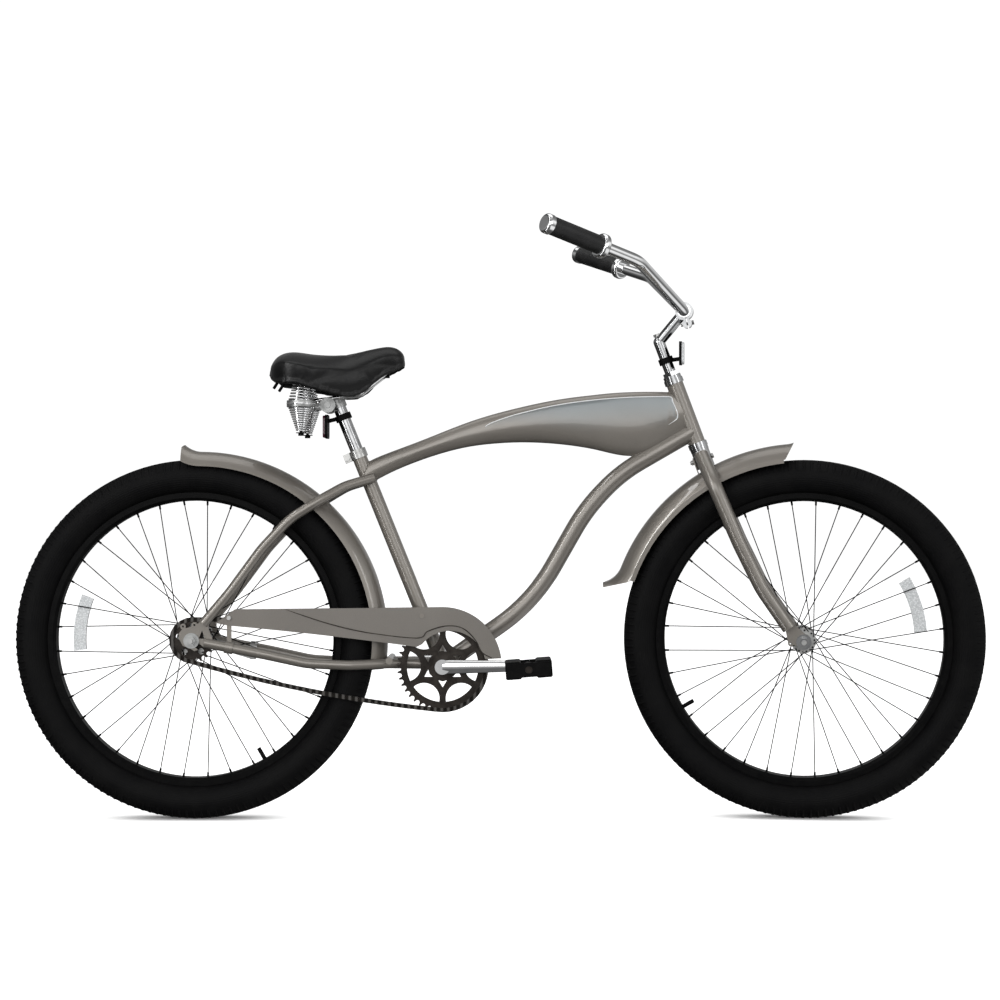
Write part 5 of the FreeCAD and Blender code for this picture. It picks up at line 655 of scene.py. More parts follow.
class GeometryTree(Graph):
    """A Geometry Nodes tree with named sizes that ends as one plain mesh."""

    def __init__(self, name: str) -> None:
        """Starts a tree with one geometry in and one out.

        Args:
            name: the tree's name.
        """
        super().__init__(bpy.data.node_groups.new(name, "GeometryNodeTree"))
        face = self.tree.interface
        face.new_socket("Geometry", in_out="INPUT", socket_type="NodeSocketGeometry")
        face.new_socket("Geometry", in_out="OUTPUT", socket_type="NodeSocketGeometry")
        self.entry = self.tree.nodes.new("NodeGroupInput")
        self.exit = self.tree.nodes.new("NodeGroupOutput")

    @property
    def guide(self) -> Wire:
        """The geometry that the tree is laid on."""
        return Wire(self, self.entry.outputs[0])

    def size(self, name: str, whole: bool = False) -> Wire:
        """Adds a named size to the tree's inputs.

        Args:
            name: the size's name.
            whole: true for a count.

        Returns:
            The size as a wire.
        """
        kind = "NodeSocketInt" if whole else "NodeSocketFloat"
        item = self.tree.interface.new_socket(name, in_out="INPUT", socket_type=kind)
        return Wire(self, next(s for s in self.entry.outputs if s.identifier == item.identifier))

    def sizes(self, *names: str) -> list[Wire]:
        """Adds several named sizes to the tree's inputs."""
        return [self.size(name) for name in names]

    def join(self, *shapes: Wire) -> Wire:
        """Joins several geometries.

        Args:
            shapes: geometries to be joined.

        Returns:
            All of them as one.
        """
        made = self.tree.nodes.new("GeometryNodeJoinGeometry")
        for shape in shapes:
            self.tree.links.new(shape.socket, made.inputs[0])
        return Wire(self, made.outputs[0])

    def pair(self, shape: Wire, back: Wire, apart: Wire, height: Wire) -> Wire:
        """Sets a shape on each side of the middle.

        Args:
            shape: geometry to be set twice.
            back: its place along X.
            apart: its distance from the middle.
            height: its height.

        Returns:
            Both as one geometry.
        """
        both = []
        for sign in (-1.0, 1.0):
            place = self.node("ShaderNodeCombineXYZ", None, {0: back, 1: apart * sign, 2: height})
            both.append(self.node("GeometryNodeTransform", None, {"Geometry": shape, "Translation": place}))
        return self.join(*both)

    def close(self, shape: Wire, finish: Finish) -> "GeometryTree":
        """Ends the tree: real meshes, smooth faces, one finish.

        Args:
            shape: geometry that the tree gives out.
            finish: its finish.

        Returns:
            This tree.
        """
        real = self.node("GeometryNodeRealizeInstances", None, {"Geometry": shape})
        smooth = self.node("GeometryNodeSetShadeSmooth", None, {"Geometry": real, "Shade Smooth": True})
        inputs = {"Geometry": smooth, "Material": finish.material()}
        self.feed(self.exit.inputs[0], self.node("GeometryNodeSetMaterial", None, inputs))
        return self

    def mesh(self, name: str, sizes: dict[str, Number],
             guide: Optional[bpy.types.Mesh] = None) -> bpy.types.Mesh:
        """Runs the tree and takes its result as a plain mesh.

        Args:
            name: name of the mesh.
            sizes: value of each named size.
            guide: mesh that the tree is laid on, if it needs one.

        Returns:
            The finished mesh.
        """
        carrier = Bench.place(name + "_carrier", guide or bpy.data.meshes.new(name + "_guide"))
        modifier = carrier.modifiers.new(name, "NODES")
        modifier.node_group = self.tree
        for item in self.tree.interface.items_tree:
            if item.in_out == "INPUT" and item.name in sizes:
                modifier[item.identifier] = sizes[item.name]
        mesh = Bench.result(carrier)
        mesh.name = name
        bpy.data.objects.remove(carrier)
        return mesh


class Bench:
    """Common work on meshes and pieces."""

    @staticmethod
    def place(name: str, data: bpy.types.ID) -> bpy.types.Object:
        """Makes an object in the scene.

        Args:
            name: the object's name.
            data: its mesh, light or camera.

        Returns:
            The new object.
        """
        made = bpy.data.objects.new(name, data)
        bpy.context.scene.collection.objects.link(made)
        return made

    @staticmethod
    def result(made: bpy.types.Object) -> bpy.types.Mesh:
        """Plain mesh of an object with its modifiers applied."""
        ready = made.evaluated_get(bpy.context.evaluated_depsgraph_get())
        return bpy.data.meshes.new_from_object(ready)

    @staticmethod
    def dress(finish: Finish, *nodes: str) -> None:
        """Gives CAD nodes a finish in every slot.

        Args:
            finish: finish of the nodes.
            nodes: names of the nodes.
        """
        for name in nodes:
            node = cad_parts[name]
            if not node.material_slots:
                node.data.materials.append(finish.material())
            for slot in node.material_slots:
                slot.material = finish.material()
            log.info("dressed %s with %s", name, finish.name)

    @staticmethod
    def piece(name: str, mesh: bpy.types.Mesh, finish: Finish, body: Optional[Body]) -> bpy.types.Object:
        """Makes a piece of a mesh.

        Args:
            name: the piece's name.
            mesh: its mesh, in place.
            finish: its finish.
            body: body that it rides on, or none to leave it without one.

        Returns:
            The new object.
        """
        made = Bench.place(name, mesh)
        mesh.materials.clear()
        mesh.materials.append(finish.material())
        if body is not None:
            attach(made, body.value)
        log.info("built %s: %d faces", name, len(mesh.polygons))
        return made

    @staticmethod
    def mesh(name: str, points: Sequence[Vector], faces: Sequence[Sequence[int]],
             smooth: bool = True) -> bpy.types.Mesh:
        """Mesh with its faces turned outwards.

        Args:
            name: name of the mesh.
            points: its points.
            faces: each face's points by number.
            smooth: true for soft edges between the faces.

        Returns:
            The mesh.
        """
        mesh = bpy.data.meshes.new(name)
        mesh.from_pydata([tuple(point) for point in points], [], [tuple(face) for face in faces])
        work = bmesh.new()
        work.from_mesh(mesh)
        bmesh.ops.recalc_face_normals(work, faces=work.faces)
        work.to_mesh(mesh)
        work.free()
        for polygon in mesh.polygons:
            polygon.use_smooth = smooth
        return mesh

    @staticmethod
    def sweep(name: str, rings: Sequence[Sequence[Vector]], smooth: bool = True) -> bpy.types.Mesh:
        """Skin over rings of points, with closed ends.

        Args:
            name: name of the mesh.
            rings: rings with the same number of points, one after another.
            smooth: true for soft edges between the faces.

        Returns:
            The closed mesh.
        """
        sides = len(rings[0])
        starts = range(0, len(rings) * sides, sides)
        faces: list[list[int]] = []
        for here, there in zip(starts, starts[1:]):
            for side in range(sides):
                beside = (side + 1) % sides
                faces.append([here + side, here + beside, there + beside, there + side])
        for start in (starts[0], starts[-1]):
            faces.append(list(range(start, start + sides)))
        return Bench.mesh(name, [spot for ring in rings for spot in ring], faces, smooth)

    @staticmethod
    def tube(name: str, path: Sequence[Vector], radius: Callable[[float], float],
             sides: int) -> bpy.types.Mesh:
        """Round tube along a path.

        Args:
            name: name of the mesh.
            path: points of the middle line.
            radius: radius at a share of the path between 0 and 1.
            sides: faces round the tube.

        Returns:
            The tube's mesh.
        """
        last = len(path) - 1
        angles = [2 * math.pi * side / sides for side in range(sides)]
        rings: list[list[Vector]] = []
        up = Vector((0.0, 0.0, 1.0))
        for index, spot in enumerate(path):
            way = (path[min(index + 1, last)] - path[max(index - 1, 0)]).normalized()
            up = up - way * up.dot(way)
            if up.length < TINY:
                up = way.orthogonal()
            up.normalize()
            out = way.cross(up)
            size = radius(index / max(1, last))
            rings.append([spot + (up * math.cos(angle) + out * math.sin(angle)) * size for angle in angles])
        return Bench.sweep(name, rings)

    @staticmethod
    def skin(node: str) -> BVHTree:
        """Surface of a CAD node, for laying things on it."""
        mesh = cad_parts[node].data
        return BVHTree.FromPolygons([vertex.co.copy() for vertex in mesh.vertices],
                                    [list(polygon.vertices) for polygon in mesh.polygons])

    @staticmethod
    def lens(name: str, node: str, out: Vector, depth: float = 0.0035,
             lift: float = 0.0003) -> bpy.types.Mesh:
        """Thin shell over the foremost block of a node.

        Args:
            name: name of the mesh.
            node: CAD node that the block belongs to.
            out: direction that the block looks in.
            depth: how far behind the foremost face a face may lie.
            lift: distance that the shell stands off the block.

        Returns:
            The shell's mesh.
        """
        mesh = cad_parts[node].data.copy()
        mesh.name = name
        work = bmesh.new()
        work.from_mesh(mesh)
        front = max(vertex.co.dot(out) for vertex in work.verts)
        far = [face for face in work.faces if face.calc_center_median().dot(out) < front - depth]
        bmesh.ops.delete(work, geom=far, context="FACES")
        bmesh.ops.remove_doubles(work, verts=work.verts, dist=TOUCHING)
        bmesh.ops.recalc_face_normals(work, faces=work.faces)
        work.normal_update()
        moves = [(vertex, vertex.normal.copy()) for vertex in work.verts]
        for vertex, way in moves:
            vertex.co += way * lift
        work.to_mesh(mesh)
        work.free()
        return mesh

    @staticmethod
    def smooth_path(points: Sequence[Vector], steps: int) -> list[Vector]:
        """Rounded path through points.

        Args:
            points: points to go through.
            steps: points of the result for each gap.

        Returns:
            The finer path.
        """
        fine: list[Vector] = []
        last = len(points) - 1
        for index in range(last):
            before, here = points[max(0, index - 1)], points[index]
            there, after = points[index + 1], points[min(last, index + 2)]
            bend = 2 * before - 5 * here + 4 * there - after
            twist = 3 * here - before - 3 * there + after
            for step in range(steps):
                t = step / steps
                fine.append(0.5 * (2 * here + (there - before) * t + bend * t * t + twist * t * t * t))
        fine.append(points[last].copy())
        return fine


@dataclass
class SteeringLine:
    """Axis that the front assembly is turned about, and how far it is turned at rest."""

    low: Vector = field(default_factory=lambda: Vector((0.3865, 0.0, 0.7336)))
    slope: float = math.radians(69.3)
    turn: float = math.radians(-7.0)

    def turned(self) -> Matrix:
        """Movement of the front assembly from straight ahead to its place at rest.

        Returns:
            The turn about the steering axis.
        """
        axis = Vector((-math.cos(self.slope), 0.0, math.sin(self.slope)))
        turn = Matrix.Rotation(self.turn, 4, axis)
        return Matrix.Translation(self.low) @ turn @ Matrix.Translation(-self.low)


class Assembly:
    """A group of nodes with its finishes and its added pieces."""

    def build(self) -> None:
        """Builds the added pieces, where the group has any."""

    def dress(self) -> None:
        """Gives the group's nodes their finishes."""


@dataclass
class Wheel(Assembly):
    """One wheel: dressed rim, spokes and hub, and tread ribs round both shoulders."""

    end: str
    body: Body
    middle: Vector
    place: Matrix
    rib_count: int = 148
    rib_steps: int = 7
    oval_middle: float = 0.31475
    oval_radius: float = 0.0362
    rib_start: float = math.radians(24.0)
    rib_sweep: float = math.radians(41.0)
    rib_width: float = 0.0052
    rib_height: float = 0.0021

    def rubber(self) -> TyreRubber:
        """Rubber whose moulded rings follow this wheel's own axle."""
        axle = self.place.to_3x3() @ Vector((0.0, 1.0, 0.0))
        return TyreRubber(self.end + "_tyre_rubber", tuple(self.place @ self.middle), tuple(axle))

    def tread_tree(self, finish: Finish) -> GeometryTree:
        """Tree that lays curved ribs over both shoulders of a tyre.

        Args:
            finish: rubber of the ribs.

        Returns:
            The closed tree.
        """
        tree = GeometryTree(self.end + "_tread")
        count = tree.size("Count", whole=True)
        middle, radius, start, sweep, width, height = tree.sizes(
            "Oval middle", "Oval radius", "Start", "Sweep", "Width", "Height")
        section = tree.node("GeometryNodeCurvePrimitiveQuadrilateral", None,
                            {"Width": height, "Height": width})
        ribs = []
        for first in (start, math.pi - start - sweep):
            bow = tree.node("GeometryNodeCurveArc", {"mode": "RADIUS"}, {
                "Resolution": self.rib_steps, "Radius": radius, "Start Angle": first, "Sweep Angle": sweep})
            ribs.append(tree.node("GeometryNodeCurveToMesh", None,
                                  {"Curve": bow, "Profile Curve": section, "Fill Caps": True}))
        upright = tree.node("GeometryNodeTransform", None,
                            {"Geometry": tree.join(*ribs), "Rotation": (-math.pi / 2, -math.pi / 2, 0.0)})
        circle = tree.node("GeometryNodeMeshCircle", None, {"Vertices": count, "Radius": middle})
        outward = tree.node("FunctionNodeAlignRotationToVector", {"axis": "X", "pivot_axis": "Z"},
                            {"Vector": tree.node("GeometryNodeInputPosition")})
        laid = tree.node("GeometryNodeInstanceOnPoints", None,
                         {"Points": circle, "Instance": upright, "Rotation": outward})
        rolled = tree.node("GeometryNodeTransform", None,
                           {"Geometry": laid, "Rotation": (math.pi / 2, 0.0, 0.0)})
        return tree.close(rolled, finish)

    def build(self) -> None:
        """Builds the tread ribs."""
        finish = self.rubber()
        sizes = {"Count": self.rib_count, "Oval middle": self.oval_middle, "Oval radius": self.oval_radius,
                 "Start": self.rib_start, "Sweep": self.rib_sweep, "Width": self.rib_width,
                 "Height": self.rib_height}
        mesh = self.tread_tree(finish).mesh(self.end + "_tread_ribs", sizes)
        mesh.transform(self.place @ Matrix.Translation(self.middle))
        Bench.piece(self.end + "_tread_ribs", mesh, finish, self.body)

    def dress(self) -> None:
        """Gives the wheel's nodes their finishes."""
        Bench.dress(self.rubber(), self.end + "_tyre", self.end + "_inner_tube")
        Bench.dress(BLACK_METAL, self.end + "_rim", self.end + "_spokes")
        Bench.dress(PLATED, self.end + "_hub_shell")
        Bench.dress(CLEAR, self.end + "_wheel_reflector")

@dataclass
class FrameSet(Assembly):
    """Welded frame with its tank panel, silver line and weld beads."""

    outline: tuple[tuple[float, float], ...] = (
        (-0.0274, 0.7643), (-0.0235, 0.7672), (-0.0088, 0.7740), (0.0323, 0.7877), (0.1075, 0.8053),
        (0.1818, 0.8159), (0.2561, 0.8216), (0.3200, 0.8231), (0.3353, 0.8215), (0.3382, 0.8131),
        (0.3462, 0.7930), (0.3470, 0.7819), (0.3400, 0.7750), (0.3296, 0.7682))
    top_points: int = 12
    look_from: float = 0.3
    look_length: float = 0.32
    panel_start: float = -0.0274
    panel_end: float = 0.3466
    panel_foot: float = 0.7700
    panel_nose: float = 0.33
    panel_depth: float = 0.010
    panel_deepening: float = 0.062
    deepening_rate: float = 1.9
    fade_at_tail: float = 0.35
    fade_rate: float = 1.6
    panel_columns: int = 72
    panel_rows: int = 18
    panel_lift: float = 0.00025
    stripe_width: float = 0.0021
    stripe_lift: float = 0.00012
    stripe_tip: float = 0.25
    stripe_taper: float = 9.0
    joints: tuple[tuple[str, str], ...] = (
        ("top_tube_tank", "head_tube"), ("down_tube", "head_tube"), ("top_tube_tank", "down_tube"),
        ("seat_tube", "top_tube_tank"), ("seat_tube", "bottom_bracket_shell"),
        ("down_tube", "bottom_bracket_shell"), ("chain_stays", "bottom_bracket_shell"),
        ("seat_stays", "seat_tube"), ("seat_stays", "top_tube_tank"), ("seat_stays", "rear_dropouts"),
        ("chain_stays", "rear_dropouts"))
    weld_swell: float = 0.0006
    weld_pitch: float = 0.0019
    weld_radius: float = 0.0015
    guard_face: float = -0.0589
    guard_crease: tuple[tuple[float, float], ...] = (
        (-0.413, 0.4106), (-0.330, 0.3832), (-0.257, 0.3662), (-0.159, 0.3552), (-0.138, 0.3682),
        (-0.101, 0.3787), (-0.070, 0.3737), (-0.0457, 0.3507), (-0.0337, 0.3282), (-0.0140, 0.3165))
    crease_radius: float = 0.0011

    def top_line(self, x: float) -> float:
        """Upper edge of the panel.

        Args:
            x: place along X.

        Returns:
            The edge's height there.
        """
        runs = self.outline[:self.top_points]
        for (x0, z0), (x1, z1) in zip(runs, runs[1:]):
            if x0 <= x <= x1:
                return z0 + (z1 - z0) * (x - x0) / (x1 - x0)
        return runs[-1][1]

    def on_skin(self, skin: BVHTree, x: float, z: float, side: Side, lift: float) -> Optional[Vector]:
        """Point of a surface seen from one side.

        Args:
            skin: surface to look at.
            x: place along X.
            z: height.
            side: side that the surface is seen from.
            lift: distance to stand off the surface.

        Returns:
            The point, or none where nothing is there.
        """
        eye = Vector((x, side.value * self.look_from, z))
        spot, normal, _, _ = skin.ray_cast(eye, Vector((0.0, -side.value, 0.0)), self.look_length)
        if spot is None:
            return None
        if normal.y * side.value < 0:
            normal = -normal
        return spot + normal * lift

    def panel(self, skin: BVHTree, side: Side) -> bpy.types.Mesh:
        """Pale skin over one side of the tank, fading downwards.

        Args:
            skin: surface of the tank.
            side: side of the bicycle.

        Returns:
            The panel's mesh with its fade attribute.
        """
        points: list[Vector] = []
        fades: list[float] = []
        places: dict[tuple[int, int], int] = {}
        for column in range(self.panel_columns + 1):
            along = column / self.panel_columns
            x = self.panel_start + (self.panel_end - self.panel_start) * along
            top = self.top_line(x)
            depth = self.panel_depth + self.panel_deepening * min(1.0, along * self.deepening_rate)
            if top - depth < self.panel_foot and x > self.panel_nose:
                depth = top - self.panel_foot
            for row in range(self.panel_rows + 1):
                down = row / self.panel_rows
                spot = self.on_skin(skin, x, top - depth * down, side, self.panel_lift)
                if spot is not None:
                    places[column, row] = len(points)
                    points.append(spot)
                    fades.append((1 - down) * min(1.0, self.fade_at_tail + along * self.fade_rate))
        faces = []
        for column in range(self.panel_columns):
            for row in range(self.panel_rows):
                corners = [(column, row), (column + 1, row), (column + 1, row + 1), (column, row + 1)]
                if all(corner in places for corner in corners):
                    faces.append([places[corner] for corner in corners])
        mesh = Bench.mesh("tank_panel", points, faces)
        if mesh.polygons[0].normal.y * side.value < 0:
            mesh.flip_normals()
        layer = mesh.attributes.new("fade", "FLOAT", "POINT")
        layer.data.foreach_set("value", fades)
        return mesh

    def stripe_radius(self, share: float) -> float:
        """Radius of the bright line at a share of its length."""
        full = min(1.0, share * self.stripe_taper, (1 - share) * self.stripe_taper)
        return self.stripe_width / 2 * (self.stripe_tip + (1 - self.stripe_tip) * full)

    def stripe(self, skin: BVHTree, side: Side) -> bpy.types.Mesh:
        """Thin raised line round the panel, tapering at both ends.

        Args:
            skin: surface of the tank.
            side: side of the bicycle.

        Returns:
            The line's mesh.
        """
        flat = Bench.smooth_path([Vector((x, 0.0, z)) for x, z in self.outline], steps=8)
        laid = [self.on_skin(skin, spot.x, spot.z, side, self.stripe_lift) for spot in flat]
        path = [spot for spot in laid if spot is not None]
        return Bench.tube("tank_line", path, self.stripe_radius, sides=8)

    def weld_tree(self) -> GeometryTree:
        """Tree that lays uneven overlapping beads on the points of a seam.

        Returns:
            The closed tree.
        """
        tree = GeometryTree("weld_beads")
        pitch, radius = tree.sizes("Pitch", "Radius")
        spots = tree.node("GeometryNodeMergeByDistance", None, {"Geometry": tree.guide, "Distance": pitch})
        bead = tree.node("GeometryNodeMeshUVSphere", None, {"Segments": 8, "Rings": 5, "Radius": radius})
        uneven = tree.node("FunctionNodeRandomValue", {"data_type": "FLOAT"},
                           {"Min": 0.85, "Max": 1.15, "Seed": 7}, "Value")
        laid = tree.node("GeometryNodeInstanceOnPoints", None,
                         {"Points": spots, "Instance": bead, "Scale": uneven})
        return tree.close(laid, PAINT)

    def seam(self, first: str, second: str) -> list[Vector]:
        """Points where one tube's skin, a little swollen, passes through another's.

        Args:
            first: node whose skin is swollen.
            second: node that it passes through.

        Returns:
            Points along the seam, in no order.
        """
        sheets = []
        for name, swell in ((first, self.weld_swell), (second, 0.0)):
            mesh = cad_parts[name].data
            mesh.calc_loop_triangles()
            spots = [vertex.co + vertex.normal * swell for vertex in mesh.vertices]
            sheets.append((spots, [tuple(triangle.vertices) for triangle in mesh.loop_triangles]))
        trees = [BVHTree.FromPolygons(spots, faces) for spots, faces in sheets]
        found: list[Vector] = []
        for one, other in trees[0].overlap(trees[1]):
            corners = [sheets[0][0][index] for index in sheets[0][1][one]]
            wall = [sheets[1][0][index] for index in sheets[1][1][other]]
            found += self.pierced(corners, wall) + self.pierced(wall, corners)
        return found

    @staticmethod
    def pierced(edges: Sequence[Vector], wall: Sequence[Vector]) -> list[Vector]:
        """Points where a triangle's edges pass through another triangle.

        Args:
            edges: corners of the first triangle.
            wall: corners of the other.

        Returns:
            The points found.
        """
        found = []
        for start, end in zip(edges, (*edges[1:], edges[0])):
            spot = intersect_ray_tri(*wall, end - start, start, True)
            if spot is not None and 0.0 <= (spot - start).dot(end - start) <= (end - start).length_squared:
                found.append(spot)
        return found

    def welds(self) -> None:
        """Builds the weld beads at the tubes' joints."""
        spots = [spot for first, second in self.joints for spot in self.seam(first, second)]
        guide = bpy.data.meshes.new("weld_guide")
        guide.from_pydata([tuple(spot) for spot in spots], [], [])
        sizes = {"Pitch": self.weld_pitch, "Radius": self.weld_radius}
        Bench.piece("frame_welds", self.weld_tree().mesh("frame_welds", sizes, guide), PAINT, Body.FRAME)

    def crease(self) -> None:
        """Builds the dark line of painted shade in the chain guard's pressed crease."""
        path = Bench.smooth_path([Vector((x, self.guard_face, z)) for x, z in self.guard_crease], steps=10)
        mesh = Bench.tube("guard_crease", path,
                          lambda share: self.crease_radius * min(1.0, 0.3 + share * 12.0), sides=8)
        Bench.piece("guard_crease", mesh, CREASE_SHADE, Body.FRAME)

    def build(self) -> None:
        """Builds the panels, the lines, the painted shade line in the guard's crease and the weld beads."""
        tank = Bench.skin("top_tube_tank")
        for side in Side:
            Bench.piece("tank_panel_" + side.word, self.panel(tank, side), PANEL, Body.FRAME)
            Bench.piece("tank_line_" + side.word, self.stripe(tank, side), STRIPE, Body.FRAME)
        self.crease()
        self.welds()

    def dress(self) -> None:
        """Gives the frame's nodes their finishes."""
        Bench.dress(PAINT, "head_tube", "top_tube_tank", "down_tube", "seat_tube", "bottom_bracket_shell",
                    "seat_stays", "chain_stays", "rear_dropouts", "rear_fender", "guard_brackets")
        Bench.dress(SHADED_GUARD_PAINT, "chain_guard")
        Bench.dress(ALLOY, "seat_collar")
        Bench.dress(CLAMP, "rear_axle_nuts")
        Bench.dress(DEEP_CHROME, "bearing_cups")
        Bench.dress(PLATED, "bearing_balls", "rear_axle", "brake_arm", "brake_shoes")
        Bench.dress(FASTENER, "frame_bolts")


@dataclass
class FrontEnd(Assembly):
    """Fork, front fender and the pieces of the front axle."""

    steering: SteeringLine
    hem_inner: float = 0.3462
    hem_outer: float = 0.3542
    hem_wall: tuple[float, float] = (0.0383, 0.0396)
    hem_from: float = 96.4
    flare_from: float = 158.5
    hem_to: float = 161.0
    flare_rise: float = 0.0013
    steps: int = 72

    def hem(self, side: Side) -> bpy.types.Mesh:
        """Turned-down edge along one side of the front fender.

        Args:
            side: side of the wheel that the edge is on.

        Returns:
            A thin curved band with closed ends.
        """
        near, far = (Vector((0.0, side.value * wall, 0.0)) for wall in self.hem_wall)
        rings = []
        for step in range(self.steps + 1):
            angle = self.hem_from + (self.hem_to - self.hem_from) * step / self.steps
            past = max(0.0, (angle - self.flare_from) / (self.hem_to - self.flare_from))
            ray = Vector((math.cos(math.radians(angle)), 0.0, math.sin(math.radians(angle))))
            inner = FRONT_AXLE + ray * self.hem_inner
            outer = FRONT_AXLE + ray * (self.hem_outer + self.flare_rise * past * past)
            corners = (outer + near, outer + far, inner + far, inner + near)
            rings.append([self.steering.turned() @ corner for corner in corners])
        return Bench.sweep("fender_hem_" + side.word, rings, smooth=False)

    def build(self) -> None:
        """Builds the turned-down edges of the front fender."""
        for side in Side:
            Bench.piece("fender_hem_" + side.word, self.hem(side), PAINT, Body.STEERING)

    def dress(self) -> None:
        """Gives the fork's nodes their finishes."""
        Bench.dress(PAINT, "fork_blades", "front_fender")
        Bench.dress(PLATED, "fork_steerer", "front_fender_bolt", "front_axle")
        Bench.dress(DEEP_CHROME, "headset_races", "front_axle_nuts")


@dataclass
class Cockpit(Assembly):
    """Stem, handlebar, grips and front reflector."""

    steering: SteeringLine

    def build(self) -> None:
        """Builds the clear lens of the front reflector."""
        ahead = self.steering.turned().to_3x3() @ Vector((1.0, 0.0, 0.0))
        Bench.piece("front_lens", Bench.lens("front_lens", "front_reflector", ahead), CLEAR, Body.STEM)

    def dress(self) -> None:
        """Gives the cockpit's nodes their finishes."""
        Bench.dress(CHROME, "handlebar", "grip_trims")
        Bench.dress(DEEP_CHROME, "stem")
        Bench.dress(PLATED, "stem_bolts")
        Bench.dress(GRIP, "grips")
        Bench.dress(PLASTIC, "front_reflector")


class Drive(Assembly):
    """Crank, chainring, chain, sprocket and pedals, dressed as they are."""

    def dress(self) -> None:
        """Gives the drive's nodes their finishes."""
        Bench.dress(CHROME, "crank")
        Bench.dress(DARK_STEEL, "chainring", "rear_sprocket", "pedal_spindles")
        Bench.dress(CHAIN_STEEL, "chain")
        Bench.dress(PLASTIC, "right_pedal", "left_pedal")


@dataclass(frozen=True)
class ConeSpring:
    """Pair of cone springs: turns, heights and radii of the ends, and the heights they give between."""

    name: str
    turns: float
    foot: float
    top: float
    low_radius: float
    high_radius: float
    give_from: float
    give_to: float


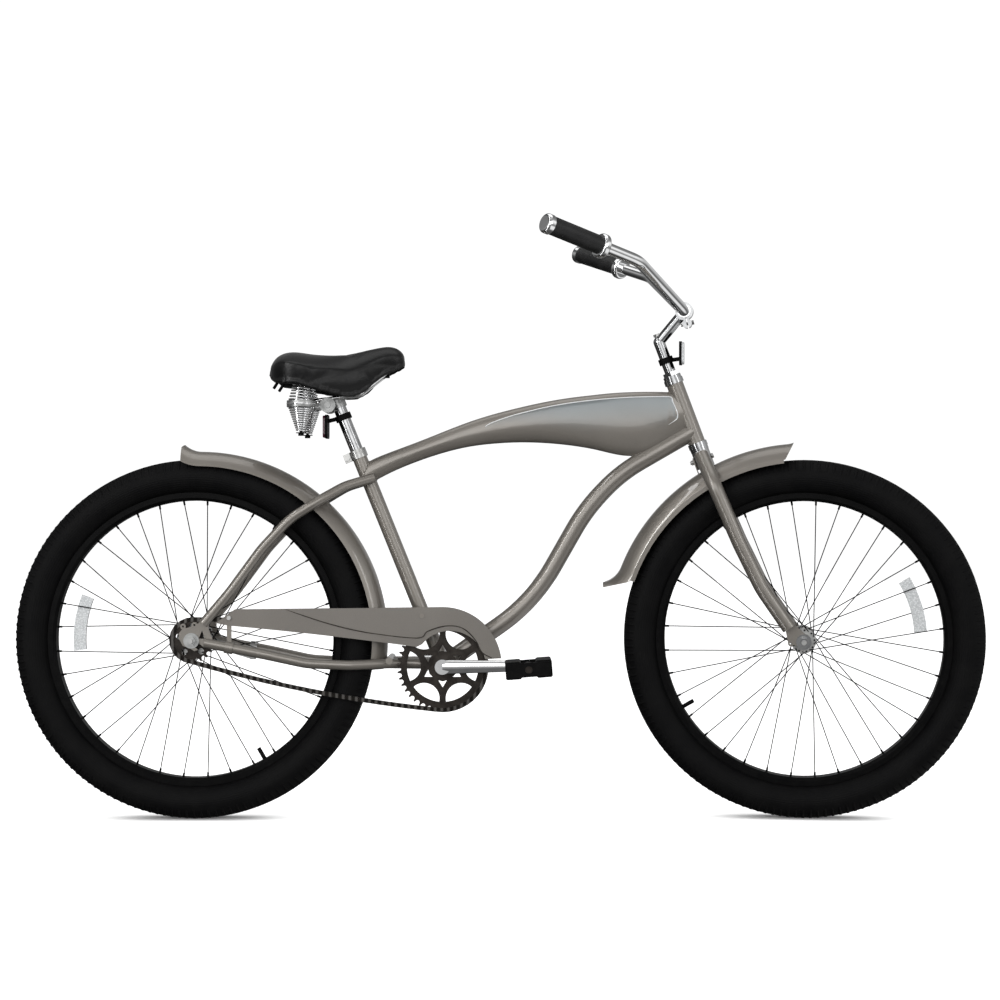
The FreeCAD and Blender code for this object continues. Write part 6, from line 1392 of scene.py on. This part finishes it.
@dataclass
class Seat(Assembly):
    """Seat post, rails, springs and the padded saddle."""

    voxel: float = 0.005
    take_in: float = 0.004
    held_slope: float = -0.35
    pressure: float = 4.0
    frames: int = 20
    most_swell: float = 0.007
    spring_x: float = -0.381
    spring_y: float = 0.070
    wire: float = 0.0018
    cones: tuple[ConeSpring, ...] = (
        ConeSpring("load_springs", 5.5, 0.8123, 0.8434, 0.0235, 0.0140, 0.8095, 0.8460),
        ConeSpring("rebound_springs", 11.0, 0.7540, 0.7997, 0.0080, 0.0235, 0.8025, 0.7540))
    band_middle: float = 0.8060
    band_height: float = 0.0130
    band_radius: float = 0.0266
    band_thickness: float = 0.0020
    peg_root: float = -0.418
    peg_aside: float = 0.050
    peg_end: tuple[float, float] = (-0.436, 0.836)
    peg_radius: float = 0.003
    peg_search: float = 0.12
    peg_sink: float = 0.001

    def spring_tree(self) -> GeometryTree:
        """Tree of two round-wire cone springs, one on each side.

        Returns:
            The closed tree.
        """
        tree = GeometryTree("cone_springs")
        turns, foot, rise, low, high, wire, back, apart = tree.sizes(
            "Turns", "Foot", "Rise", "Low radius", "High radius", "Wire radius", "Back", "Apart")
        spiral = tree.node("GeometryNodeCurveSpiral", None, {
            "Resolution": 40, "Rotations": turns, "Start Radius": low, "End Radius": high, "Height": rise})
        section = tree.node("GeometryNodeCurvePrimitiveCircle", {"mode": "RADIUS"},
                            {"Resolution": 12, "Radius": wire})
        body = tree.node("GeometryNodeCurveToMesh", None,
                         {"Curve": spiral, "Profile Curve": section, "Fill Caps": True})
        return tree.close(tree.pair(body, back, apart, foot), CHROME)

    def band_tree(self) -> GeometryTree:
        """Tree of two rounded bands that hold the wide ends of the springs.

        Returns:
            The closed tree.
        """
        tree = GeometryTree("spring_bands")
        radius, height, thickness, back, apart, middle = tree.sizes(
            "Radius", "Height", "Thickness", "Back", "Apart", "Middle")
        ring = tree.node("GeometryNodeCurvePrimitiveCircle", {"mode": "RADIUS"},
                         {"Resolution": 48, "Radius": radius})
        flat = tree.node("GeometryNodeCurvePrimitiveQuadrilateral", None,
                         {"Width": thickness, "Height": height})
        section = tree.node("GeometryNodeFilletCurve", {"mode": "POLY"},
                            {"Curve": flat, "Count": 3, "Radius": thickness * 0.45})
        body = tree.node("GeometryNodeCurveToMesh", None, {"Curve": ring, "Profile Curve": section})
        return tree.close(tree.pair(body, back, apart, middle), CLAMP)

    def bands(self) -> None:
        """Builds the bands round the springs' wide ends."""
        mesh = self.band_tree().mesh("spring_bands", {
            "Radius": self.band_radius, "Height": self.band_height, "Thickness": self.band_thickness,
            "Back": self.spring_x, "Apart": self.spring_y, "Middle": self.band_middle})
        Bench.piece("spring_bands", mesh, CLAMP, Body.SADDLE_FRAME)

    def springs(self) -> None:
        """Builds the load springs above the rings and the rebound springs below them."""
        tree = self.spring_tree()
        for cone in self.cones:
            mesh = tree.mesh(cone.name, {
                "Turns": cone.turns, "Foot": cone.foot, "Rise": cone.top - cone.foot,
                "Low radius": cone.low_radius, "High radius": cone.high_radius, "Wire radius": self.wire,
                "Back": self.spring_x, "Apart": self.spring_y})
            made = Bench.piece(cone.name, mesh, CHROME, None)
            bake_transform(made)
            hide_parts("saddle_springs")

    def cushion(self) -> bpy.types.Mesh:
        """Cover blown up like a stuffed skin from a slightly smaller form.

        Returns:
            The cover's mesh, its movement held within the padding's play.
        """
        made = Bench.place("cover_form", self.closed_cover())
        remesh = made.modifiers.new("remesh", "REMESH")
        remesh.mode = "VOXEL"
        remesh.voxel_size = self.voxel
        soften = made.modifiers.new("soften", "SMOOTH")
        soften.iterations = 6
        soften.factor = 0.5
        form = Bench.result(made)
        made.modifiers.clear()
        made.data = form
        home = [vertex.co.copy() for vertex in form.vertices]
        ways = [vertex.normal.copy() for vertex in form.vertices]
        held = made.vertex_groups.new(name="held")
        for index, (spot, way) in enumerate(zip(home, ways)):
            below = way.z < self.held_slope
            held.add([index], 1.0 if below else 0.0, "REPLACE")
            if not below:
                form.vertices[index].co = spot - way * self.take_in
        self.blow_up(made)
        swollen = Bench.result(made)
        bpy.context.scene.frame_set(1)
        bpy.data.objects.remove(made)
        for vertex, spot in zip(swollen.vertices, home):
            move = vertex.co - spot
            if move.length > self.most_swell:
                vertex.co = spot + move.normalized() * self.most_swell
        for polygon in swollen.polygons:
            polygon.use_smooth = True
        return swollen

    @staticmethod
    def closed_cover() -> bpy.types.Mesh:
        """Copy of the CAD's cover with its points joined.

        Returns:
            The copy.
        """
        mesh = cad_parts["saddle_cover"].data.copy()
        work = bmesh.new()
        work.from_mesh(mesh)
        bmesh.ops.remove_doubles(work, verts=work.verts, dist=TOUCHING)
        work.to_mesh(mesh)
        work.free()
        return mesh

    def blow_up(self, made: bpy.types.Object) -> None:
        """Runs the cloth under pressure and leaves its result in the object.

        Args:
            made: object with the cover's form and its held group.
        """
        cloth = made.modifiers.new("stuffing", "CLOTH")
        cloth.settings.quality = 6
        cloth.settings.mass = 0.25
        cloth.settings.use_pressure = True
        cloth.settings.uniform_pressure_force = self.pressure
        cloth.settings.tension_stiffness = 22.0
        cloth.settings.compression_stiffness = 22.0
        cloth.settings.bending_stiffness = 1.2
        cloth.settings.vertex_group_mass = "held"
        cloth.settings.effector_weights.gravity = 0.0
        cloth.collision_settings.use_collision = False
        cloth.point_cache.frame_start = 1
        cloth.point_cache.frame_end = self.frames
        for number in range(1, self.frames + 1):
            bpy.context.scene.frame_set(number)
        swollen = Bench.result(made)
        made.modifiers.clear()
        made.data = swollen

    def cover(self) -> None:
        """Builds the padded cover in place of the CAD's soft solid."""
        made = Bench.piece("saddle_padding", self.cushion(), VINYL, Body.SADDLE_TOP)
        finer = made.modifiers.new("finer", "SUBSURF")
        finer.levels = 1
        finer.render_levels = 1
        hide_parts("saddle_cover")

    def pegs(self) -> None:
        """Builds the two bag pegs that stand out under the saddle's rear edge."""
        pan = Bench.skin("saddle_pan")
        for side in Side:
            low = Vector((self.peg_root, side.value * self.peg_aside, self.peg_end[1]))
            root = pan.ray_cast(low, Vector((0.0, 0.0, 1.0)), self.peg_search)[0]
            if root is None:
                log.warning("no place for the %s peg", side.word)
                continue
            tip = Vector((self.peg_end[0], low.y, self.peg_end[1]))
            sink = (tip - root).normalized() * self.peg_sink
            path = [root - sink, root.lerp(tip, 0.4), root.lerp(tip, 0.8), tip - sink, tip]
            name = "bag_peg_" + side.word
            mesh = Bench.tube(name, path, lambda share: self.peg_radius * (0.7 if share == 1.0 else 1.0),
                              sides=14)
            Bench.piece(name, mesh, PLASTIC, Body.SADDLE_TOP)

    def build(self) -> None:
        """Builds the springs, the padded cover, the bag pegs and the red lens."""
        self.springs()
        self.bands()
        self.cover()
        self.pegs()
        rear = Bench.lens("rear_lens", "rear_reflector", Vector((-1.0, 0.0, 0.0)))
        Bench.piece("rear_lens", rear, RED, Body.SEAT_POST)

    def dress(self) -> None:
        """Gives the seat's nodes their finishes."""
        Bench.dress(CHROME, "saddle_rails")
        Bench.dress(DEEP_CHROME, "seat_post")
        Bench.dress(CLAMP, "saddle_clamp", "saddle_clamp_plates")
        Bench.dress(PLASTIC, "saddle_pan", "rear_reflector")
        Bench.dress(VINYL, "saddle_cover")
        Bench.dress(CHROME, "saddle_springs")


@dataclass(frozen=True)
class SoftBox:
    """Soft light: where it hangs, what it faces, its size and its power in watts."""

    name: str
    place: Point
    aim: Point
    size: tuple[float, float]
    power: float

    def hang(self) -> None:
        """Hangs the light in the scene."""
        data = bpy.data.lights.new(self.name, "AREA")
        data.shape = "RECTANGLE"
        data.size, data.size_y = self.size
        data.energy = self.power
        lamp = Bench.place(self.name, data)
        lamp.location = self.place
        lamp.rotation_euler = (Vector(self.aim) - Vector(self.place)).to_track_quat("-Z", "Y").to_euler()


@dataclass
class Studio:
    """Pale floor with a painted contact shadow, soft lights and the camera."""

    boxes: tuple[SoftBox, ...] = (
        SoftBox("front_box", (-0.7, -5.2, 2.1), (0.0, 0.0, 0.6), (5.0, 3.2), 72.0),
        SoftBox("left_strip", (-3.2, -3.4, 1.5), (0.0, 0.0, 0.7), (0.26, 3.2), 46.0),
        SoftBox("right_strip", (3.4, -2.8, 1.5), (0.2, 0.0, 0.6), (0.6, 2.2), 16.0),
        SoftBox("top_box", (0.0, 0.2, 3.6), (0.0, 0.0, 0.5), (3.6, 2.0), 22.0))
    distance: float = 4.2
    height: float = 0.602
    aside: float = 0.0014
    lens: float = 77.34
    lift: float = 0.010
    floor_half: float = 14.0
    floor_tones: tuple[Colour, Colour] = ((0.93, 0.93, 0.93, 1.0), (0.95, 0.95, 0.95, 1.0))
    # Painted shadow: the floor's glow runs from this dark tone, where things touch it, to white.
    painted_shadow_tones: tuple[Colour, Colour] = ((0.05, 0.05, 0.05, 1.0), (1.0, 1.0, 1.0, 1.0))
    shadow_reach: float = 0.10
    bands: tuple[tuple[float, float], ...] = (
        (0.0, 0.12), (0.28, 0.12), (0.42, 0.30), (0.50, 0.66), (0.60, 0.98), (0.68, 0.98), (0.75, 0.35),
        (0.84, 0.28), (0.90, 0.50), (1.0, 0.50))
    behind: float = 0.55
    behind_from: tuple[float, float] = (-0.3, 0.5)
    left_flag: float = 0.40
    flag_edge: tuple[float, float] = (-0.42, -0.22)
    streak_place: float = -0.62
    streak_half: float = 0.026
    streak_tone: float = 7.0
    paper_tone: float = 0.75
    paper_top: tuple[float, float] = (-0.55, -0.30)
    paper_edge: tuple[float, float] = (0.35, 0.60)
    backdrop: float = 1.05

    def floor(self) -> None:
        """Builds the floor: it glows evenly white, with a painted contact shadow where ambient occlusion
        darkens its glow near the tyres.
        """
        half = self.floor_half
        corners = [Vector((x, y, 0.0)) for x in (-half, half) for y in (-half, half)]
        made = Bench.place("floor", Bench.mesh("floor", corners, [[0, 2, 3, 1]], smooth=False))
        recipe = Recipe("pale_floor")
        cloud = recipe.noise(FLOOR_CLOUD)
        # Painted shadow: ambient occlusion darkens the floor's glow close under the tyres.
        near = recipe.node("ShaderNodeAmbientOcclusion", {"samples": 16},
                           {"Distance": self.shadow_reach}, "AO")
        painted_shadow_glow = recipe.mix(near.ramp(0.25, 0.85), *self.painted_shadow_tones)
        recipe.surface(Base_Color=recipe.mix(cloud, *self.floor_tones), Roughness=cloud * 0.1 + 0.75,
                       Specular_IOR_Level=0.1, Emission_Color=painted_shadow_glow, Emission_Strength=0.9)
        made.data.materials.append(recipe.material)
        made.visible_diffuse = False
        made.visible_glossy = False

    def surround(self) -> None:
        """Makes the world: bands of light and shade for the metal to mirror, white where it is looked at."""
        world = bpy.data.worlds.new("studio")
        world.use_nodes = True
        bpy.context.scene.world = world
        graph = Graph(world.node_tree)
        world.node_tree.nodes.clear()
        across, depth, upper = graph.split(graph.node("ShaderNodeTexCoord", None, None, "Generated"))
        stops = [(place, (tone, tone, tone, 1.0)) for place, tone in self.bands]
        bands = graph.node("ShaderNodeValToRGB", {"stops": stops}, {"Fac": upper * 0.5 + 0.5})
        shaded = bands * depth.ramp(*self.behind_from, 1.0, self.behind)
        flagged = shaded * across.ramp(*self.flag_edge, self.left_flag, 1.0)
        low, high = self.streak_place - self.streak_half, self.streak_place + self.streak_half
        streak = (across > low) * (across < high) * (depth < 0.0) * self.streak_tone
        paper = upper.ramp(*self.paper_top, 1.0, 0.0) * across.ramp(*self.paper_edge) * self.paper_tone
        seen = graph.node("ShaderNodeLightPath", None, None, "Is Camera Ray")
        strength = (flagged + streak + paper) * (1 - seen) + seen * self.backdrop
        white = (1.0, 1.0, 1.0, 1.0)
        shell = graph.node("ShaderNodeBackground", None, {"Color": white, "Strength": strength})
        out = world.node_tree.nodes.new("ShaderNodeOutputWorld")
        world.node_tree.links.new(shell.socket, out.inputs["Surface"])

    def camera(self) -> None:
        """Sets the camera square on to the right side."""
        data = bpy.data.cameras.new("camera")
        data.lens = self.lens
        data.sensor_width = 36.0
        data.shift_y = self.lift
        made = Bench.place("camera", data)
        made.location = (self.aside, -self.distance, self.height)
        made.rotation_euler = (math.pi / 2, 0.0, 0.0)
        bpy.context.scene.camera = made

    def build(self) -> None:
        """Builds the whole studio."""
        self.floor()
        self.surround()
        for box in self.boxes:
            box.hang()
        self.camera()
        view = bpy.context.scene.view_settings
        view.view_transform = "Standard"
        view.look = "None"


def main() -> None:
    """Builds and dresses every assembly."""
    logging.basicConfig(level=logging.INFO, format="%(name)s: %(message)s")
    steering = SteeringLine()
    assemblies: list[Assembly] = [
        FrameSet(),
        FrontEnd(steering),
        Wheel("front", Body.FRONT_WHEEL, FRONT_AXLE, steering.turned()),
        Wheel("rear", Body.REAR_WHEEL, REAR_AXLE, Matrix.Identity(4)),
        Cockpit(steering),
        Drive(),
        Seat(),
    ]
    for assembly in assemblies:
        assembly.build()
        assembly.dress()
    Studio().build()


if __name__ == "__main__":
    main()
